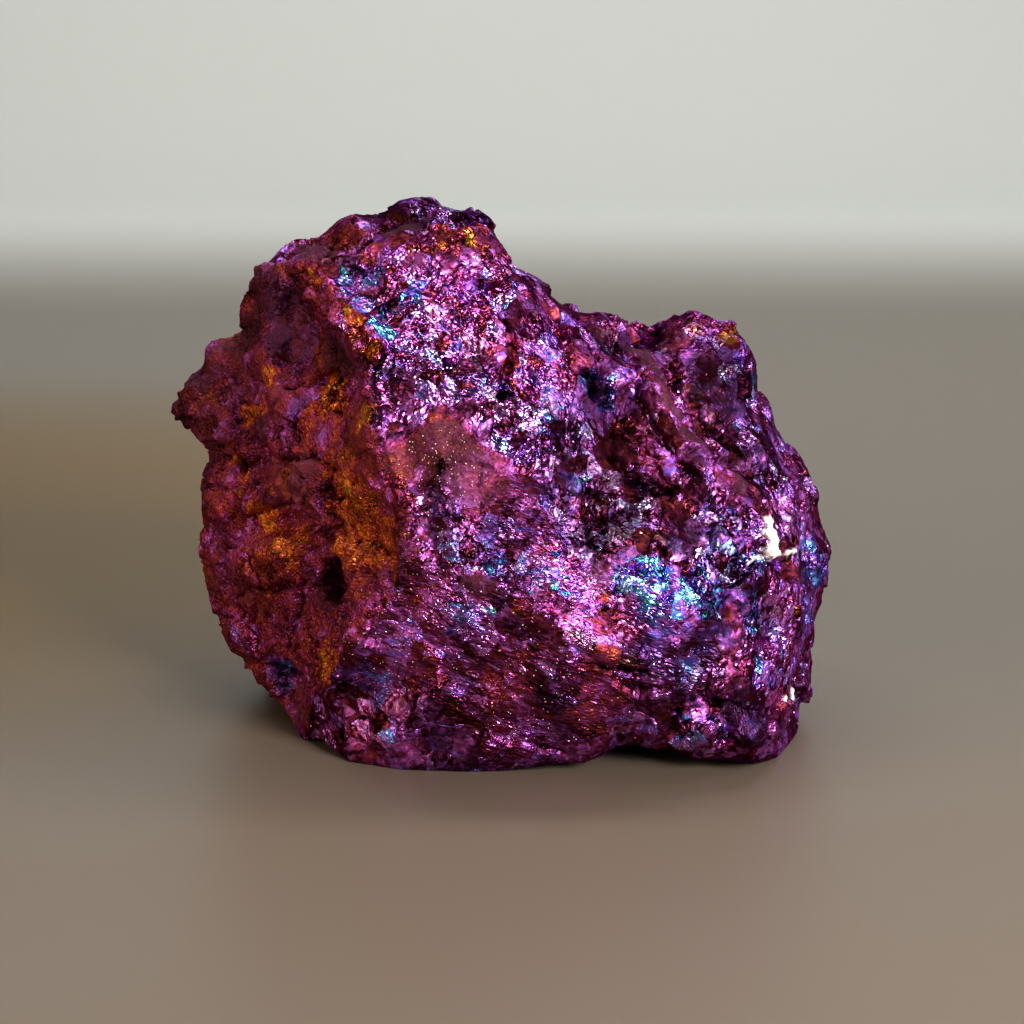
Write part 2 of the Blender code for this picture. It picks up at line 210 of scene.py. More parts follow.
# Broad lighter and darker areas, painted into the tone: mostly painted light and shade where forms catch
# the light or lie in shade, partly the ore's own lighter or darker patches: (right, up, reach, change of
# tone).
PAINTED_SHADES = {
    "bright brow": (-7.4, 24.6, 9.0, 0.42),
    "middle": (1.6, 18.0, 6.0, 0.26),
    "valley": (9.4, 6.4, 6.6, -0.4),
    "top of the valley": (10.6, 13.6, 4.2, -0.36),
    "foot of the valley": (13.6, 0.8, 5.0, -0.75),
    "end of the trough": (5.4, 2.2, 3.4, -0.3),
    "right of the bosses": (27.4, -7.0, 3.8, -0.42),
    "right of the foot of the valley": (19.6, -3.6, 4.4, -0.25),
    "lower slope of the spur": (18.2, 6.4, 3.6, 0.5),
    "end of the saddle": (12.6, 20.0, 3.4, -0.7),
    "saddle": (5.0, 23.6, 3.6, 0.5),
    "left of the saddle": (0.0, 18.0, 3.0, 0.3),
    "lit brow": (-12.8, 30.4, 4.4, 0.5),
    "below the brow": (-6.8, 19.0, 4.8, -0.3),
    "edge of the prow": (-19.6, 13.6, 4.4, 0.35),
    "beside the low crack": (-26.6, -8.0, 3.2, 0.4),
    "brown foot": (5.6, -22.0, 4.2, -0.4),
    "above the striped dark": (12.0, -20.6, 2.4, 0.3),
    "hem": (-16.0, -28.0, 6.4, 0.35),
    "right edge": (34.4, -8.6, 3.4, 0.25),
    "speckled field": (-5.6, -2.4, 6.0, -0.16),
    "foot of the spur": (25.0, 0.6, 5.0, -0.32),
    "horn": (27.0, 15.6, 6.4, -0.45),
    "right corner of the horn": (25.2, 20.4, 3.0, -0.35),
    "below the blue boss": (25.0, -13.0, 3.0, -0.4),
    "face of the horn": (20.4, 19.4, 2.6, 0.35),
    "horn's hollow": (26.0, 12.6, 3.0, -0.3),
    "notch": (17.0, 20.4, 2.6, -0.5),
    "hot pink plate": (5.0, 18.8, 2.0, 0.6),
    "peach flake": (-18.4, 21.6, 3.0, 0.9),
    "peach crest": (9.6, -15.8, 4.0, 0.35),
    "above the bosses": (10.0, -3.4, 4.6, -0.5),
    "left of the pink boss": (0.4, -9.0, 2.6, -0.15),
    "cap": (-12.0, 36.5, 10.0, -0.42),
    "snout": (-38.0, 14.0, 6.0, -0.3),
    "navy spot": (-25.8, 12.8, 2.0, -0.3),
    "top of the hollow": (-26.6, 26.0, 3.6, -0.3),
    "floor of the hollow": (-20.6, 19.0, 3.0, -0.25),
    "matt patch": (-8.6, 7.0, 6.0, -0.02),
    "right shoulder": (31.0, 6.0, 7.0, -0.26),
    "pink boss": (6.6, -9.0, 5.6, 0.5),
    "blue boss": (18.4, -9.4, 6.4, 0.42),
    "lower front": (4.0, -22.0, 15.0, 0.18),
    "lower left": (-13.0, -15.6, 8.6, 0.34),
    "lower right": (24.0, -20.0, 8.0, 0.0),
    "left face's foot": (-28.0, -20.0, 10.0, 0.06),
    "gold by the prow": (-17.0, -1.6, 6.0, -0.06),
    "slate ledge": (-16.6, 32.0, 3.4, 0.25),
    "slate hollow": (-26.0, 22.6, 5.0, 0.2),
    "round the quartz": (29.0, -4.0, 4.0, 0.2),
    "right foot": (31.6, -20.6, 5.4, 0.6),
    "nodule": (22.6, -27.4, 4.4, 0.5),
    "left cheek": (-26.6, 9.0, 9.6, 0.4),
    "middle of the left face": (-27.0, -2.0, 9.0, 0.1),
    "magenta heel": (-33.0, -15.0, 4.0, 0.3),
    "under the peach crest": (16.0, -17.4, 3.6, -0.35),
    "its neighbour": (28.6, -25.0, 4.2, -0.7),
    "striped dark": (21.6, -18.6, 4.2, -0.46),
    "pit in the left face": (-21.2, -7.6, 2.7, -0.8),
    "purple under the yellow spot": (-23.2, 10.6, 2.4, -0.2),
    "gold fleck": (-29.4, 16.6, 2.6, 0.25),
    "navy slot": (-27.8, -19.4, 3.4, -0.5),
}
# Where the ore has a grain, like wood: (right, up, reach).
STRIATED = {
    "lower front": (2.0, -19.0, 15.0),
    "left of it": (-14.0, -14.0, 10.0),
    "below the belly": (19.0, -16.0, 8.0),
    "trough": (1.0, -1.0, 6.0),
}
GRAIN_SLOPE = math.radians(20.0)  # how steeply the grain runs down to the right
GRAIN_WAY = (math.cos(GRAIN_SLOPE), 0.0, -math.sin(GRAIN_SLOPE))
GRAIN_LENGTH = 3.0  # length of a chip over its width
PLAIN_LENGTH = 1.7  # and elsewhere
GRAIN_FINENESS = 0.5  # width of a striated chip over that of another
# Where the crystal faces are larger and flatter: (right, up, reach).
FLAT = {
    "hot pink plate": (5.0, 18.8, 1.6),
    "pink boss": (6.4, -8.4, 5.0),
    "blue boss": (18.4, -9.2, 4.6),
    "peach flake": (-18.4, 22.0, 3.2),
    "gold grain on the cap": (-5.8, 33.4, 1.0),
    "horn's hollow": (26.8, 13.4, 3.4),
    "lilac brow": (-11.0, 27.0, 3.0),
}
# Where pale grains of quartz dust the ore: (right, up, reach, share).
DUSTED = {
    "matt patch": (-8.6, 6.0, 7.0, 1.0),
    "below it": (-7.0, -5.0, 8.0, 0.7),
    "lower left": (-14.0, -16.0, 9.0, 0.5),
    "lower front": (2.0, -20.0, 12.0, 0.3),
}
QUARTZ = {
    "tip of the quartz": (30.9, -1.2, 0.8),
    "its middle": (31.1, -2.8, 1.3),
    "its foot": (31.2, -4.5, 1.4),
    "its right end": (32.4, -5.0, 0.6),
    "quartz chip at the foot": (34.6, -22.2, 0.9),
    "its neighbour": (33.6, -22.8, 0.7),
}
QUARTZ_VEINS = {
    "vein to the right": ((32.0, -5.2), (34.0, -5.0), (35.6, -5.1)),
    "vein to the left": ((31.0, -5.2), (29.6, -5.9)),
}
VEIN_WIDTH = 0.28
# Pits and bosses: (right, up, reach, height), in millimetres.
FORMS = {
    "pit in the left face": (-21.7, -6.6, 2.4, -2.6),
    "its foot": (-20.8, -8.9, 2.4, -2.4),
    "pit above it": (-25.8, 0.8, 1.5, -1.2),
    "pit under the flake": (-19.4, 17.4, 2.0, -1.2),
    "small pit": (-0.9, 14.2, 1.0, -1.2),
    "gap in the foot": (13.4, -28.6, 1.6, -1.4),
    "notch beside the horn": (15.8, 21.6, 3.8, -3.4),
    "end of the saddle": (11.0, 22.8, 3.6, 1.5),
    "right corner of the horn": (27.4, 19.6, 3.4, 1.2),
    "top of the horn": (22.4, 23.4, 4.0, 0.8),
    "nodule": (23.0, -27.0, 3.2, 0.9),
    "its neighbour": (29.2, -27.0, 3.0, 0.6),
    "pink boss": (6.0, -8.0, 3.6, 0.5),
    "blue boss": (18.8, -9.4, 3.4, 0.5),
    "left of the shoulder": (-29.2, 28.2, 4.0, 1.3),
    "left shoulder": (-26.0, 31.0, 5.0, 2.6),
    "tip of the snout": (-38.2, 15.2, 3.4, 1.6),
    "rise of the cap": (-19.0, 33.6, 6.0, 2.4),
    "top of the cap": (-12.0, 35.8, 6.0, 2.0),
    "corner of the cap": (-5.2, 34.8, 4.0, 1.3),
    "left edge": (-36.0, 1.6, 6.0, 1.6),
    "brow of the snout": (-35.0, 18.6, 4.5, 2.4),
    "lower left edge": (-33.4, -15.0, 5.0, 0.9),
}
# Where the foot stands clear of the floor: (right, up, reach, lift), in millimetres.
LIFTED = {
    "foot on the right": (22.0, -30.4, 11.0, 1.7),
    "foot beside it": (13.0, -28.4, 5.0, 0.8),
}
# Crisp ridges: (height, reach, points of right and up).
RIDGES = {
    "ledge": (1.2, 1.3, (
        (-31.0, 27.6), (-24.0, 30.0), (-18.6, 30.4), (-14.4, 32.6), (-6.4, 33.4), (-2.4, 32.8),
    )),
    "flake": (0.9, 1.6, ((-22.8, 28.6), (-20.6, 25.0), (-17.4, 23.0), (-16.6, 19.4))),
    "prow": (0.8, 2.0, (
        (-16.6, 19.4), (-17.2, 14.8), (-16.0, 9.6), (-14.0, 3.4), (-12.4, -1.4), (-11.4, -5.6),
    )),
    "prow's foot": (0.7, 2.0, ((-11.4, -5.6), (-16.0, -11.0), (-21.0, -19.0), (-24.6, -26.0))),
    "spur": (1.1, 2.4, ((16.0, 18.4), (17.4, 15.0), (20.2, 10.0), (24.4, 5.0), (29.0, 2.0))),
    "peach crest": (0.9, 1.7, ((3.6, -12.4), (8.2, -15.0), (12.4, -17.2), (15.4, -18.2))),
    "left shelf": (0.8, 1.8, ((-32.0, 0.8), (-28.4, 2.4), (-24.0, 1.8), (-21.6, 0.2))),
    "cheek": (0.6, 1.8, ((-32.6, 19.0), (-28.4, 17.4), (-24.0, 17.8), (-20.0, 17.6))),
    "plate in the hollow": (1.0, 0.9, ((-27.2, 28.0), (-27.6, 24.0), (-28.4, 19.4))),
    "second plate in the hollow": (0.9, 0.8, ((-24.4, 26.8), (-24.2, 23.0), (-23.4, 19.4))),
}
# Cracks, each a run of (right, up) points.
CRACKS = {
    "left crack": ((-33.0, 6.0), (-31.0, 6.6), (-28.0, 6.4), (-24.5, 6.8), (-21.5, 5.0)),
    "shelf's shadow": ((-31.5, -0.6), (-28.0, 0.6), (-24.5, 0.0), (-22.0, -1.6)),
    "cheek crack": ((-28.0, 12.0), (-26.6, 9.0), (-27.2, 6.4)),
    "crack under the hollow": ((-27.0, 15.0), (-23.0, 16.2), (-19.6, 16.0)),
    "low crack": ((-34.0, -9.0), (-30.0, -9.8), (-26.6, -8.6), (-23.0, -9.0)),
    "heel crack": ((-30.0, -13.0), (-27.4, -16.0), (-26.0, -20.0)),
    "behind the ledge": ((-26.5, 30.8), (-22.5, 31.8), (-17.6, 32.6), (-13.0, 34.4), (-6.6, 35.2)),
    "beside the spur": ((13.6, 18.0), (14.8, 14.6), (18.0, 9.0), (22.0, 4.4)),
    "beyond the spur": ((20.0, 15.6), (23.6, 10.6), (28.0, 7.0)),
    "crack through the blue boss": ((14.6, -7.6), (17.4, -7.0), (19.8, -6.4), (22.6, -8.0)),
    "its branch": ((18.6, -4.6), (18.0, -7.0), (18.8, -10.6)),
    "outline of the nodule": ((19.8, -25.0), (19.4, -27.6), (20.6, -30.0)),
    "top of the nodule": ((19.8, -25.0), (22.6, -23.4), (26.0, -23.8)),
    "between the nodules": ((26.0, -23.8), (26.4, -26.8), (26.0, -29.4)),
    "valley crack": ((12.0, 6.6), (15.0, 3.4), (19.0, 2.4)),
    "upper crack": ((-1.0, 24.0), (0.6, 20.0), (-0.6, 16.6), (-0.9, 14.2)),
    "saddle crack": ((9.0, 21.0), (11.0, 17.6), (10.2, 14.0)),
    "under the peach crest": ((8.0, -18.4), (12.0, -19.8), (16.4, -19.8)),
    "right crack": ((29.0, -6.0), (32.0, -6.2), (36.0, -5.4)),
}

# ---- numbers that follow a rule ------------------------------------------------------------------

# Each noise and each set of cells has a seed of its own, the last number that it is given.
TABLE_SIZE = 8192


def lattice_keys(cells):
    """One entry of the random tables for each whole-numbered cell."""
    mixed = cells[:, 0] * 73856093 ^ cells[:, 1] * 19349663 ^ cells[:, 2] * 83492791
    mixed = (mixed ^ (mixed >> 13)) * 1274126177
    return ((mixed ^ (mixed >> 16)) & 0x7FFFFFFF) % TABLE_SIZE


def random_table(seed, width=1):
    """Random numbers from 0 to 1, the same for the same seed."""
    return numpy.random.default_rng(seed).random((TABLE_SIZE, width))


def smoothstep(low, high, value):
    """A soft step from 0 at low to 1 at high."""
    share = numpy.clip((value - low) / (high - low), 0.0, 1.0)
    return share * share * (3.0 - 2.0 * share)


def smooth_noise(places, size, seed):
    """Soft noise from -1 to 1, with features of about this size."""
    values = random_table(seed)[:, 0] * 2.0 - 1.0
    scaled = places / size
    home = numpy.floor(scaled).astype(numpy.int64)
    share = smoothstep(0.0, 1.0, scaled - home)
    total = numpy.zeros(len(places))
    for corner in itertools.product((0, 1), repeat=3):
        weight = numpy.prod(numpy.where(corner, share, 1.0 - share), axis=1)
        total += weight * values[lattice_keys(home + numpy.array(corner))]
    return total


def rough_noise(places, size, seed, octaves=4):
    """Soft noise with finer and weaker noise on it."""
    total = numpy.zeros(len(places))
    for octave in range(octaves):
        total += smooth_noise(places, size / 2 ** octave, seed + octave) / 2 ** octave
    return total


class Cells:
    """The random cells of rock that each place lies in."""

    def __init__(self, places, size, seed):
        jitter = random_table(seed, 3)
        scaled = places / size
        home = numpy.floor(scaled).astype(numpy.int64)
        count = len(places)
        nearest = numpy.full(count, numpy.inf)
        second = numpy.full(count, numpy.inf)
        self.key = numpy.zeros(count, dtype=numpy.int64)
        self.offset = numpy.zeros((count, 3))
        for step in itertools.product((-1, 0, 1), repeat=3):
            cells = home + numpy.array(step)
            keys = lattice_keys(cells)
            offset = scaled - cells - jitter[keys]
            distance = numpy.linalg.norm(offset, axis=1)
            closer = distance < nearest
            second = numpy.where(closer, nearest, numpy.minimum(second, distance))
            nearest = numpy.where(closer, distance, nearest)
            self.key = numpy.where(closer, keys, self.key)
            self.offset = numpy.where(closer[:, None], offset, self.offset)
        self.border = second - nearest

    def random(self, seed):
        """A random number for each place's cell."""
        return random_table(seed)[self.key, 0]

    def chips(self, step, seed):
        """Height of each cell's own tilted plane, from about -1 to 1, with a step between cells."""
        tilt = random_table(seed, 3)[self.key] * 2.0 - 1.0
        return (tilt * self.offset).sum(axis=1) + step * (self.random(seed + 1) * 2.0 - 1.0)


def wander(places, size, reach, seed):
    """Each place moved by noise of this size and reach, so that what is laid out there gets ragged
    borders. All are in millimetres.
    """
    shift = [rough_noise(places, size, seed + 7 * axis, octaves=3) for axis in range(3)]
    return places + reach * numpy.stack(shift, axis=1)


def along_grain(places):
    """Places with the direction of the grain squeezed, so that round cells there come out long."""
    along = numpy.array(GRAIN_WAY)
    return (places - (1.0 - 1.0 / GRAIN_LENGTH) * (places @ along)[:, None] * along) / GRAIN_FINENESS


def on_eye_plane(places):
    """Right and up of each place, as the eye sees it."""
    from_eye = places - numpy.array(EYE)
    scale = EYE_DISTANCE / (from_eye @ numpy.array(FORWARD))
    return (from_eye @ numpy.array(RIGHTWARD)) * scale, (from_eye @ numpy.array(UPWARD)) * scale


def distance_to_run(places, points):
    """Distance from each place to a run of straight stretches."""
    nearest = numpy.full(len(places), numpy.inf)
    for start, end in zip(points, points[1:]):
        along = end - start
        share = numpy.clip((places - start) @ along / (along @ along), 0.0, 1.0)
        gap = numpy.linalg.norm(places - start - share[:, None] * along, axis=1)
        nearest = numpy.minimum(nearest, gap)
    return nearest


# ---- the ore's skin ------------------------------------------------------------------------------

FINEST_EDGE = 0.55  # longest edge of the fine skin where it faces the eye, in millimetres
REAR_EDGE = 0.9  # and elsewhere
TURNED_AWAY = 0.1  # a normal that runs further than this along the line of sight faces away
EDGE_ANGLE = math.radians(15.0)  # chips that meet at a steeper angle than this have a crisp edge
SAME_PLACE = 0.001 * MM  # corners closer than this are one corner


def read_rows(items, name, width, kind):
    """The named numbers of a mesh's corners or edges, so many to a row."""
    values = numpy.empty(len(items) * width, dtype=kind)
    items.foreach_get(name, values)
    return values.reshape(-1, width)


class Surface:
    """The fine skin's corners, as numpy arrays in millimetres, and where the eye sees them."""

    def __init__(self, mesh, tree):
        self.places = read_rows(mesh.vertices, "co", 3, numpy.float32).astype(float) / MM
        self.normals = read_rows(mesh.vertices, "normal", 3, numpy.float32).astype(float)
        self.edges = read_rows(mesh.edges, "vertices", 2, numpy.int32)
        self.tree = tree

    def spread(self, values, rounds):
        """Evens values out between neighbouring corners."""
        one, other = self.edges[:, 0], self.edges[:, 1]
        count = numpy.bincount(self.edges.ravel(), minlength=len(self.places))
        share = count if values.ndim == 1 else count[:, None]
        for _ in range(rounds):
            total = numpy.zeros_like(values)
            numpy.add.at(total, one, values[other])
            numpy.add.at(total, other, values[one])
            values = 0.5 * values + 0.5 * total / share
        return values

    def seen_at(self, right, up):
        """The point of the lump that the eye sees there, in millimetres."""
        target = VIEW_CENTRE + right * RIGHTWARD + up * UPWARD
        hit = self.tree.ray_cast(EYE * MM, (target - EYE).normalized())[0]
        if hit is None:
            raise RuntimeError(f"the eye's ray at {right}, {up} misses the lump")
        return numpy.array(hit) / MM

    def gap_to_run(self, places, points):
        """Distance from each place to a run of points that the eye sees on the lump."""
        return distance_to_run(places, [self.seen_at(*point) for point in points])

    def share_of(self, places, spot, soft=0.6):
        """How far each place belongs to a round zone about a spot (right, up, reach), from 0 to 1."""
        right, up, reach = spot
        gap = numpy.linalg.norm(places - self.seen_at(right, up), axis=1) / reach
        return 1.0 - smoothstep(soft, 1.0, gap)

    def share_of_any(self, places, spots, soft=0.6):
        """How far each place belongs to whichever of these zones it belongs to most."""
        share = numpy.zeros(len(places))
        for spot in spots:
            share = numpy.maximum(share, self.share_of(places, spot, soft))
        return share


def whole_copy(node):
    """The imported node's mesh as one closed skin."""
    skin = bmesh.new()
    skin.from_mesh(node.data)
    bmesh.ops.remove_doubles(skin, verts=skin.verts, dist=SAME_PLACE)
    bmesh.ops.recalc_face_normals(skin, faces=skin.faces)
    return skin


def excess(edge):
    """Length of an edge over the longest that is wanted there."""
    seen = any(face.normal.dot(FORWARD) < TURNED_AWAY for face in edge.link_faces)
    return edge.calc_length() / MM / (FINEST_EDGE if seen else REAR_EDGE)


def split_finely(skin):
    """Halves the edge that is too long by the most, again and again, until none is too long."""
    waiting = [(-excess(edge), number, edge) for number, edge in enumerate(skin.edges)]
    heapq.heapify(waiting)
    turn = len(waiting)
    while -waiting[0][0] > 1.0:
        edge = heapq.heappop(waiting)[2]
        middle = bmesh.utils.edge_split(edge, edge.verts[0], 0.5)[1]
        on_edge = {middle, *(half.other_vert(middle) for half in middle.link_edges)}
        for face in list(middle.link_faces):
            opposite = next(corner for corner in face.verts if corner not in on_edge)
            bmesh.utils.face_split(face, middle, opposite)
        for edge in middle.link_edges:
            turn += 1
            heapq.heappush(waiting, (-excess(edge), turn, edge))


# ---- tarnish -------------------------------------------------------------------------------------

# The film outside the zones: (film, how far it wanders, size of its patches in millimetres, seed).
GROUND = {
    "front": (MAGENTA - 0.04, 0.08, 6.0, 72),
    "left face": (CRIMSON + 0.03, 0.08, 5.0, 73),
    "cap": (CRIMSON + 0.06, 0.1, 4.0, 77),
    "back": (MAROON + 0.05, 0.17, 9.0, 74),
}
# Shine outside the zones, how much duller the left face and the cap are, and how far it wanders.
PLAIN_SHINE, LEFT_DULLER, CAP_DULLER, SHINE_WANDERS = 0.6, 0.22, 0.12, 0.15
# How firmly a zone sets the film and the shine.
FILM_HOLD, SHINE_HOLD = 0.85, 0.9
# On the left face, ore that isn't glittering outright loses this share of its shine.
LEFT_LOSS, GLITTERING, NOT_GLITTERING = 0.35, 0.8, 0.6
# Tone of plain ore, how far it changes from plate to plate, and how much lighter the left face is painted:
# painted light on the face that lies in shade.
PLAIN_TONE, PLATE_TONE, LEFT_PAINTED_LIGHT = 0.48, 0.3, 0.3
OUT_OF_REACH = 99.0  # height of the ledge beyond its ends, so that no cap lies there
ROUNDS_TO_BACK = 12  # evening out of the normals that tell the back from the front


def sides_of(surface):
    """How far each place belongs to the left face, the cap and the back, from 0 to 1."""
    right, up = on_eye_plane(wander(surface.places, 2.2, 0.7, 76))
    prow, ledge = numpy.array(PROW)[::-1], numpy.array(LEDGE)
    left = smoothstep(0.5, -0.5, right - numpy.interp(up, prow[:, 1], prow[:, 0]))
    brink = numpy.interp(right, ledge[:, 0], ledge[:, 1], OUT_OF_REACH, OUT_OF_REACH)
    cap = smoothstep(-0.3, 0.5, up - brink)
    back = smoothstep(0.1, 0.5, surface.spread(surface.normals, ROUNDS_TO_BACK)[:, 1])
    return left * (1.0 - cap), cap, back


def ground_film(places, side):
    """The film of a side of the lump, outside its zones."""
    film, wanders, size, seed = GROUND[side]
    return film + wanders * rough_noise(places, size, seed)


def lay_film(surface, ragged):
    """Film thickness and shine of every corner."""
    places = surface.places
    left, cap, back = sides_of(surface)
    film = ground_film(places, "front")
    for side, share in (("left face", left), ("cap", cap), ("back", back)):
        film += (ground_film(places, side) - film) * share
    shine = PLAIN_SHINE - LEFT_DULLER * left - CAP_DULLER * cap
    shine += SHINE_WANDERS * rough_noise(places, 5.0, 75)

    for right, up, reach, zone_film, zone_shine in ZONES.values():
        share = surface.share_of(ragged, (right, up, reach))
        film += (zone_film - film) * share * FILM_HOLD
        shine += (zone_shine - shine) * share * SHINE_HOLD
    patches = smoothstep(-0.5, 0.2, smooth_noise(places, 2.0, 141))
    frayed = wander(places, 1.5, 0.3, 131)
    for edge_film, edge_shine, reach, points in EDGES.values():
        share = (1.0 - smoothstep(0.5, 1.0, surface.gap_to_run(frayed, points) / reach)) * patches
        film += (edge_film - film) * share
        shine += (edge_shine - shine) * share
    loss = LEFT_LOSS * shine * left * smoothstep(GLITTERING, NOT_GLITTERING, shine)
    surface.film, surface.left = film, left
    surface.shine = numpy.clip(shine - loss, 0.0, 1.0)


def lay_tone(surface, ragged):
    """How light every corner is: the ore's own tone from plate to plate, with painted light and shade laid
    over it.
    """
    plates = Cells(wander(surface.places, 2.2, 0.9, 111), 4.0, 112)
    # The left face, which lies in shade, gets painted light; the tone from plate to plate is the ore's own.
    surface.tone = PLAIN_TONE + PLATE_TONE * (plates.random(114) - 0.5) + LEFT_PAINTED_LIGHT * surface.left
    # Broad areas of painted light and shade, and some of the ore's own lighter or darker patches.
    for right, up, reach, change in PAINTED_SHADES.values():
        surface.tone += change * surface.share_of(ragged, (right, up, reach), 0.4)


def lay_marks(surface, ragged):
    """Grain, flat faces, dust and quartz of every corner."""
    surface.grain = surface.share_of_any(ragged, STRIATED.values())
    surface.flat = surface.share_of_any(ragged, FLAT.values())
    surface.dust = numpy.zeros(len(ragged))
    for right, up, reach, amount in DUSTED.values():
        share = amount * surface.share_of(ragged, (right, up, reach), 0.2)
        surface.dust = numpy.maximum(surface.dust, share)
    frayed = wander(surface.places, 1.2, 0.4, 91)
    surface.quartz = surface.share_of_any(frayed, QUARTZ.values(), 0.8)
    for points in QUARTZ_VEINS.values():
        gap = surface.gap_to_run(frayed, points) / VEIN_WIDTH
        surface.quartz = numpy.maximum(surface.quartz, 1.0 - smoothstep(0.7, 1.0, gap))


# ---- relief --------------------------------------------------------------------------------------

# Layers of broken rock: size and height in millimetres, and the step between neighbours as a share.
BLOCK_SIZE, BLOCK_RISE, BLOCK_STEP = 6.4, 1.05, 0.12
CHIP_SIZE, CHIP_RISE, CHIP_STEP = 3.0, 0.36, 0.12
GRIT_SIZE, GRIT_RISE, GRIT_STEP = 1.4, 0.1, 0.1
SWELL_SIZE, SWELL_RISE = 5.0, 0.15
# Shards of the left face: their size, how far they differ in height and how deep the gaps are.
SHARD_SIZE, SHARD_RISE, SHARD_GAP = 4.4, 0.5, 0.6
# Dull ore keeps this share of the relief, and striated ore loses this share of its chips.
DULL_RELIEF, GRAIN_LOSS = 0.3, 0.4
# Cracks cut into the skin, and how far quartz stands out of it, in millimetres.
GROOVE_DEPTH, GROOVE_REACH = 1.1, 0.75
QUARTZ_RISE = 0.25
# The relief sets in between these heights over the floor, in millimetres, so that the foot stays flat.
CALM_FLOOR, CALM_TOP = 0.2, 2.5


def broken_rock(surface):
    """Height of the chips, blocks and shards that cover the whole lump, in millimetres."""
    places = surface.places
    relief = DULL_RELIEF + (1.0 - DULL_RELIEF) * surface.shine
    coarse = wander(places, 3.0, 0.5, 11)
    fine = wander(places, 1.6, 0.35, 14)
    fine += (wander(along_grain(places), 2.0, 0.4, 121) - fine) * surface.grain[:, None]

    height = BLOCK_RISE * Cells(coarse, BLOCK_SIZE, 17).chips(BLOCK_STEP, 18)
    crisp = numpy.maximum(relief * (1.0 - GRAIN_LOSS * surface.grain), surface.left)
    height += CHIP_RISE * Cells(fine, CHIP_SIZE, 21).chips(CHIP_STEP, 22) * crisp
    height += GRIT_RISE * Cells(fine, GRIT_SIZE, 31).chips(GRIT_STEP, 32) * relief
    height += SWELL_RISE * rough_noise(places, SWELL_SIZE, 41, octaves=2)

    shards = Cells(coarse, SHARD_SIZE, 51)
    gaps = 1.0 - smoothstep(0.02, 0.12, shards.border)
    gaps *= smoothstep(-0.2, 0.3, smooth_noise(places, 6.0, 53))
    height += surface.left * (SHARD_RISE * (shards.random(52) - 0.5) - SHARD_GAP * gaps)
    return height


def sculpt(surface):
    """Moves the skin's corners in and out along their normals."""
    places = surface.places
    height = broken_rock(surface)
    bent = wander(places, 2.4, 0.5, 57)
    for right, up, reach, rise in FORMS.values():
        height += rise * surface.share_of(bent, (right, up, reach), 0.0)
    split = wander(places, 1.4, 0.35, 55)
    for rise, reach, points in RIDGES.values():
        height += rise * numpy.clip(1.0 - surface.gap_to_run(split, points) / reach, 0.0, 1.0)
    for points in CRACKS.values():
        gap = surface.gap_to_run(split, points)
        height -= GROOVE_DEPTH * numpy.clip(1.0 - gap / GROOVE_REACH, 0.0, 1.0)
    height += QUARTZ_RISE * surface.quartz

    calm = smoothstep(CALM_FLOOR, CALM_TOP, places[:, 2])
    surface.height = height
    surface.moved = places + surface.normals * (height * calm)[:, None]
    for right, up, reach, lift in LIFTED.values():
        surface.moved[:, 2] += lift * surface.share_of(places, (right, up, reach), 0.0)
    surface.moved[:, 2] = numpy.maximum(surface.moved[:, 2], 0.0)


def set_attribute(mesh, name, values):
    """Stores one number for each corner, for the material and the scattering to read."""
    attribute = mesh.attributes.new(name, "FLOAT", "POINT")
    attribute.data.foreach_set("value", numpy.asarray(values, dtype=numpy.float32))


def make_skin():
    """The finished mesh of the ore's surface, with all that its material reads."""
    skin = whole_copy(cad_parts["ore"])
    tree = BVHTree.FromBMesh(skin)
    split_finely(skin)
    mesh = bpy.data.meshes.new("ore_skin")
    skin.to_mesh(mesh)
    skin.free()
    surface = Surface(mesh, tree)
    surface.places = surface.spread(surface.places, 2)
    surface.normals = surface.spread(surface.normals, 3)
    surface.normals /= numpy.linalg.norm(surface.normals, axis=1)[:, None]

    ragged = wander(surface.places, 2.6, 1.3, 81)
    lay_film(surface, ragged)
    lay_tone(surface, ragged)
    lay_marks(surface, ragged)
    sculpt(surface)
    mesh.vertices.foreach_set("co", (surface.moved * MM).astype(numpy.float32).ravel())
    mesh.update()
    mesh.shade_smooth()
    mesh.set_sharp_from_angle(angle=EDGE_ANGLE)

    off_floor = smoothstep(0.3, 1.5, surface.moved[:, 2])
    for name in ("film", "shine", "tone", "left", "quartz", "grain", "flat"):
        set_attribute(mesh, name, getattr(surface, name))
    # How far each corner lies below its neighbours; the material darkens such hollows as painted shade.
    set_attribute(mesh, "hollow", surface.spread(surface.height, 8) - surface.height)
    set_attribute(mesh, "sparkle", surface.shine ** 2 * (1.0 - surface.quartz) * off_floor)
    set_attribute(mesh, "dust", surface.dust * off_floor)
    return mesh


# ---- materials -----------------------------------------------------------------------------------

# Colour of the film over the ore, from thin to thick.
FILM_COLOURS = (
    (BRASS, (0.48, 0.31, 0.09)),
    (GOLD, (0.60, 0.25, 0.045)),
    (ORANGE, (0.50, 0.145, 0.03)),
    (RED, (0.32, 0.066, 0.04)),
    (CRIMSON, (0.25, 0.04, 0.06)),
    (MAROON, (0.22, 0.035, 0.12)),
    (MAGENTA, (0.385, 0.10, 0.345)),
    (VIOLET, (0.33, 0.115, 0.51)),
    (INDIGO, (0.13, 0.10, 0.42)),
    (BLUE, (0.10, 0.25, 0.62)),
    (CYAN, (0.18, 0.58, 0.70)),
)
MIDDLE = (0.5, 0.5, 0.5)  # the middle of a random colour
# How far the borders of plates and grains are bent, in millimetres, and the scale of the bends.
BEND_REACH, BEND_SCALE = 0.35, 900.0
# The broken grains inside a plate: size in millimetres, and how far they and the plates tilt.
COARSE_GRAIN, FINE_GRAIN, PLATE_LEAN, COARSE_LEAN, FINE_LEAN = 1.4, 0.42, 0.42, 0.42, 0.22
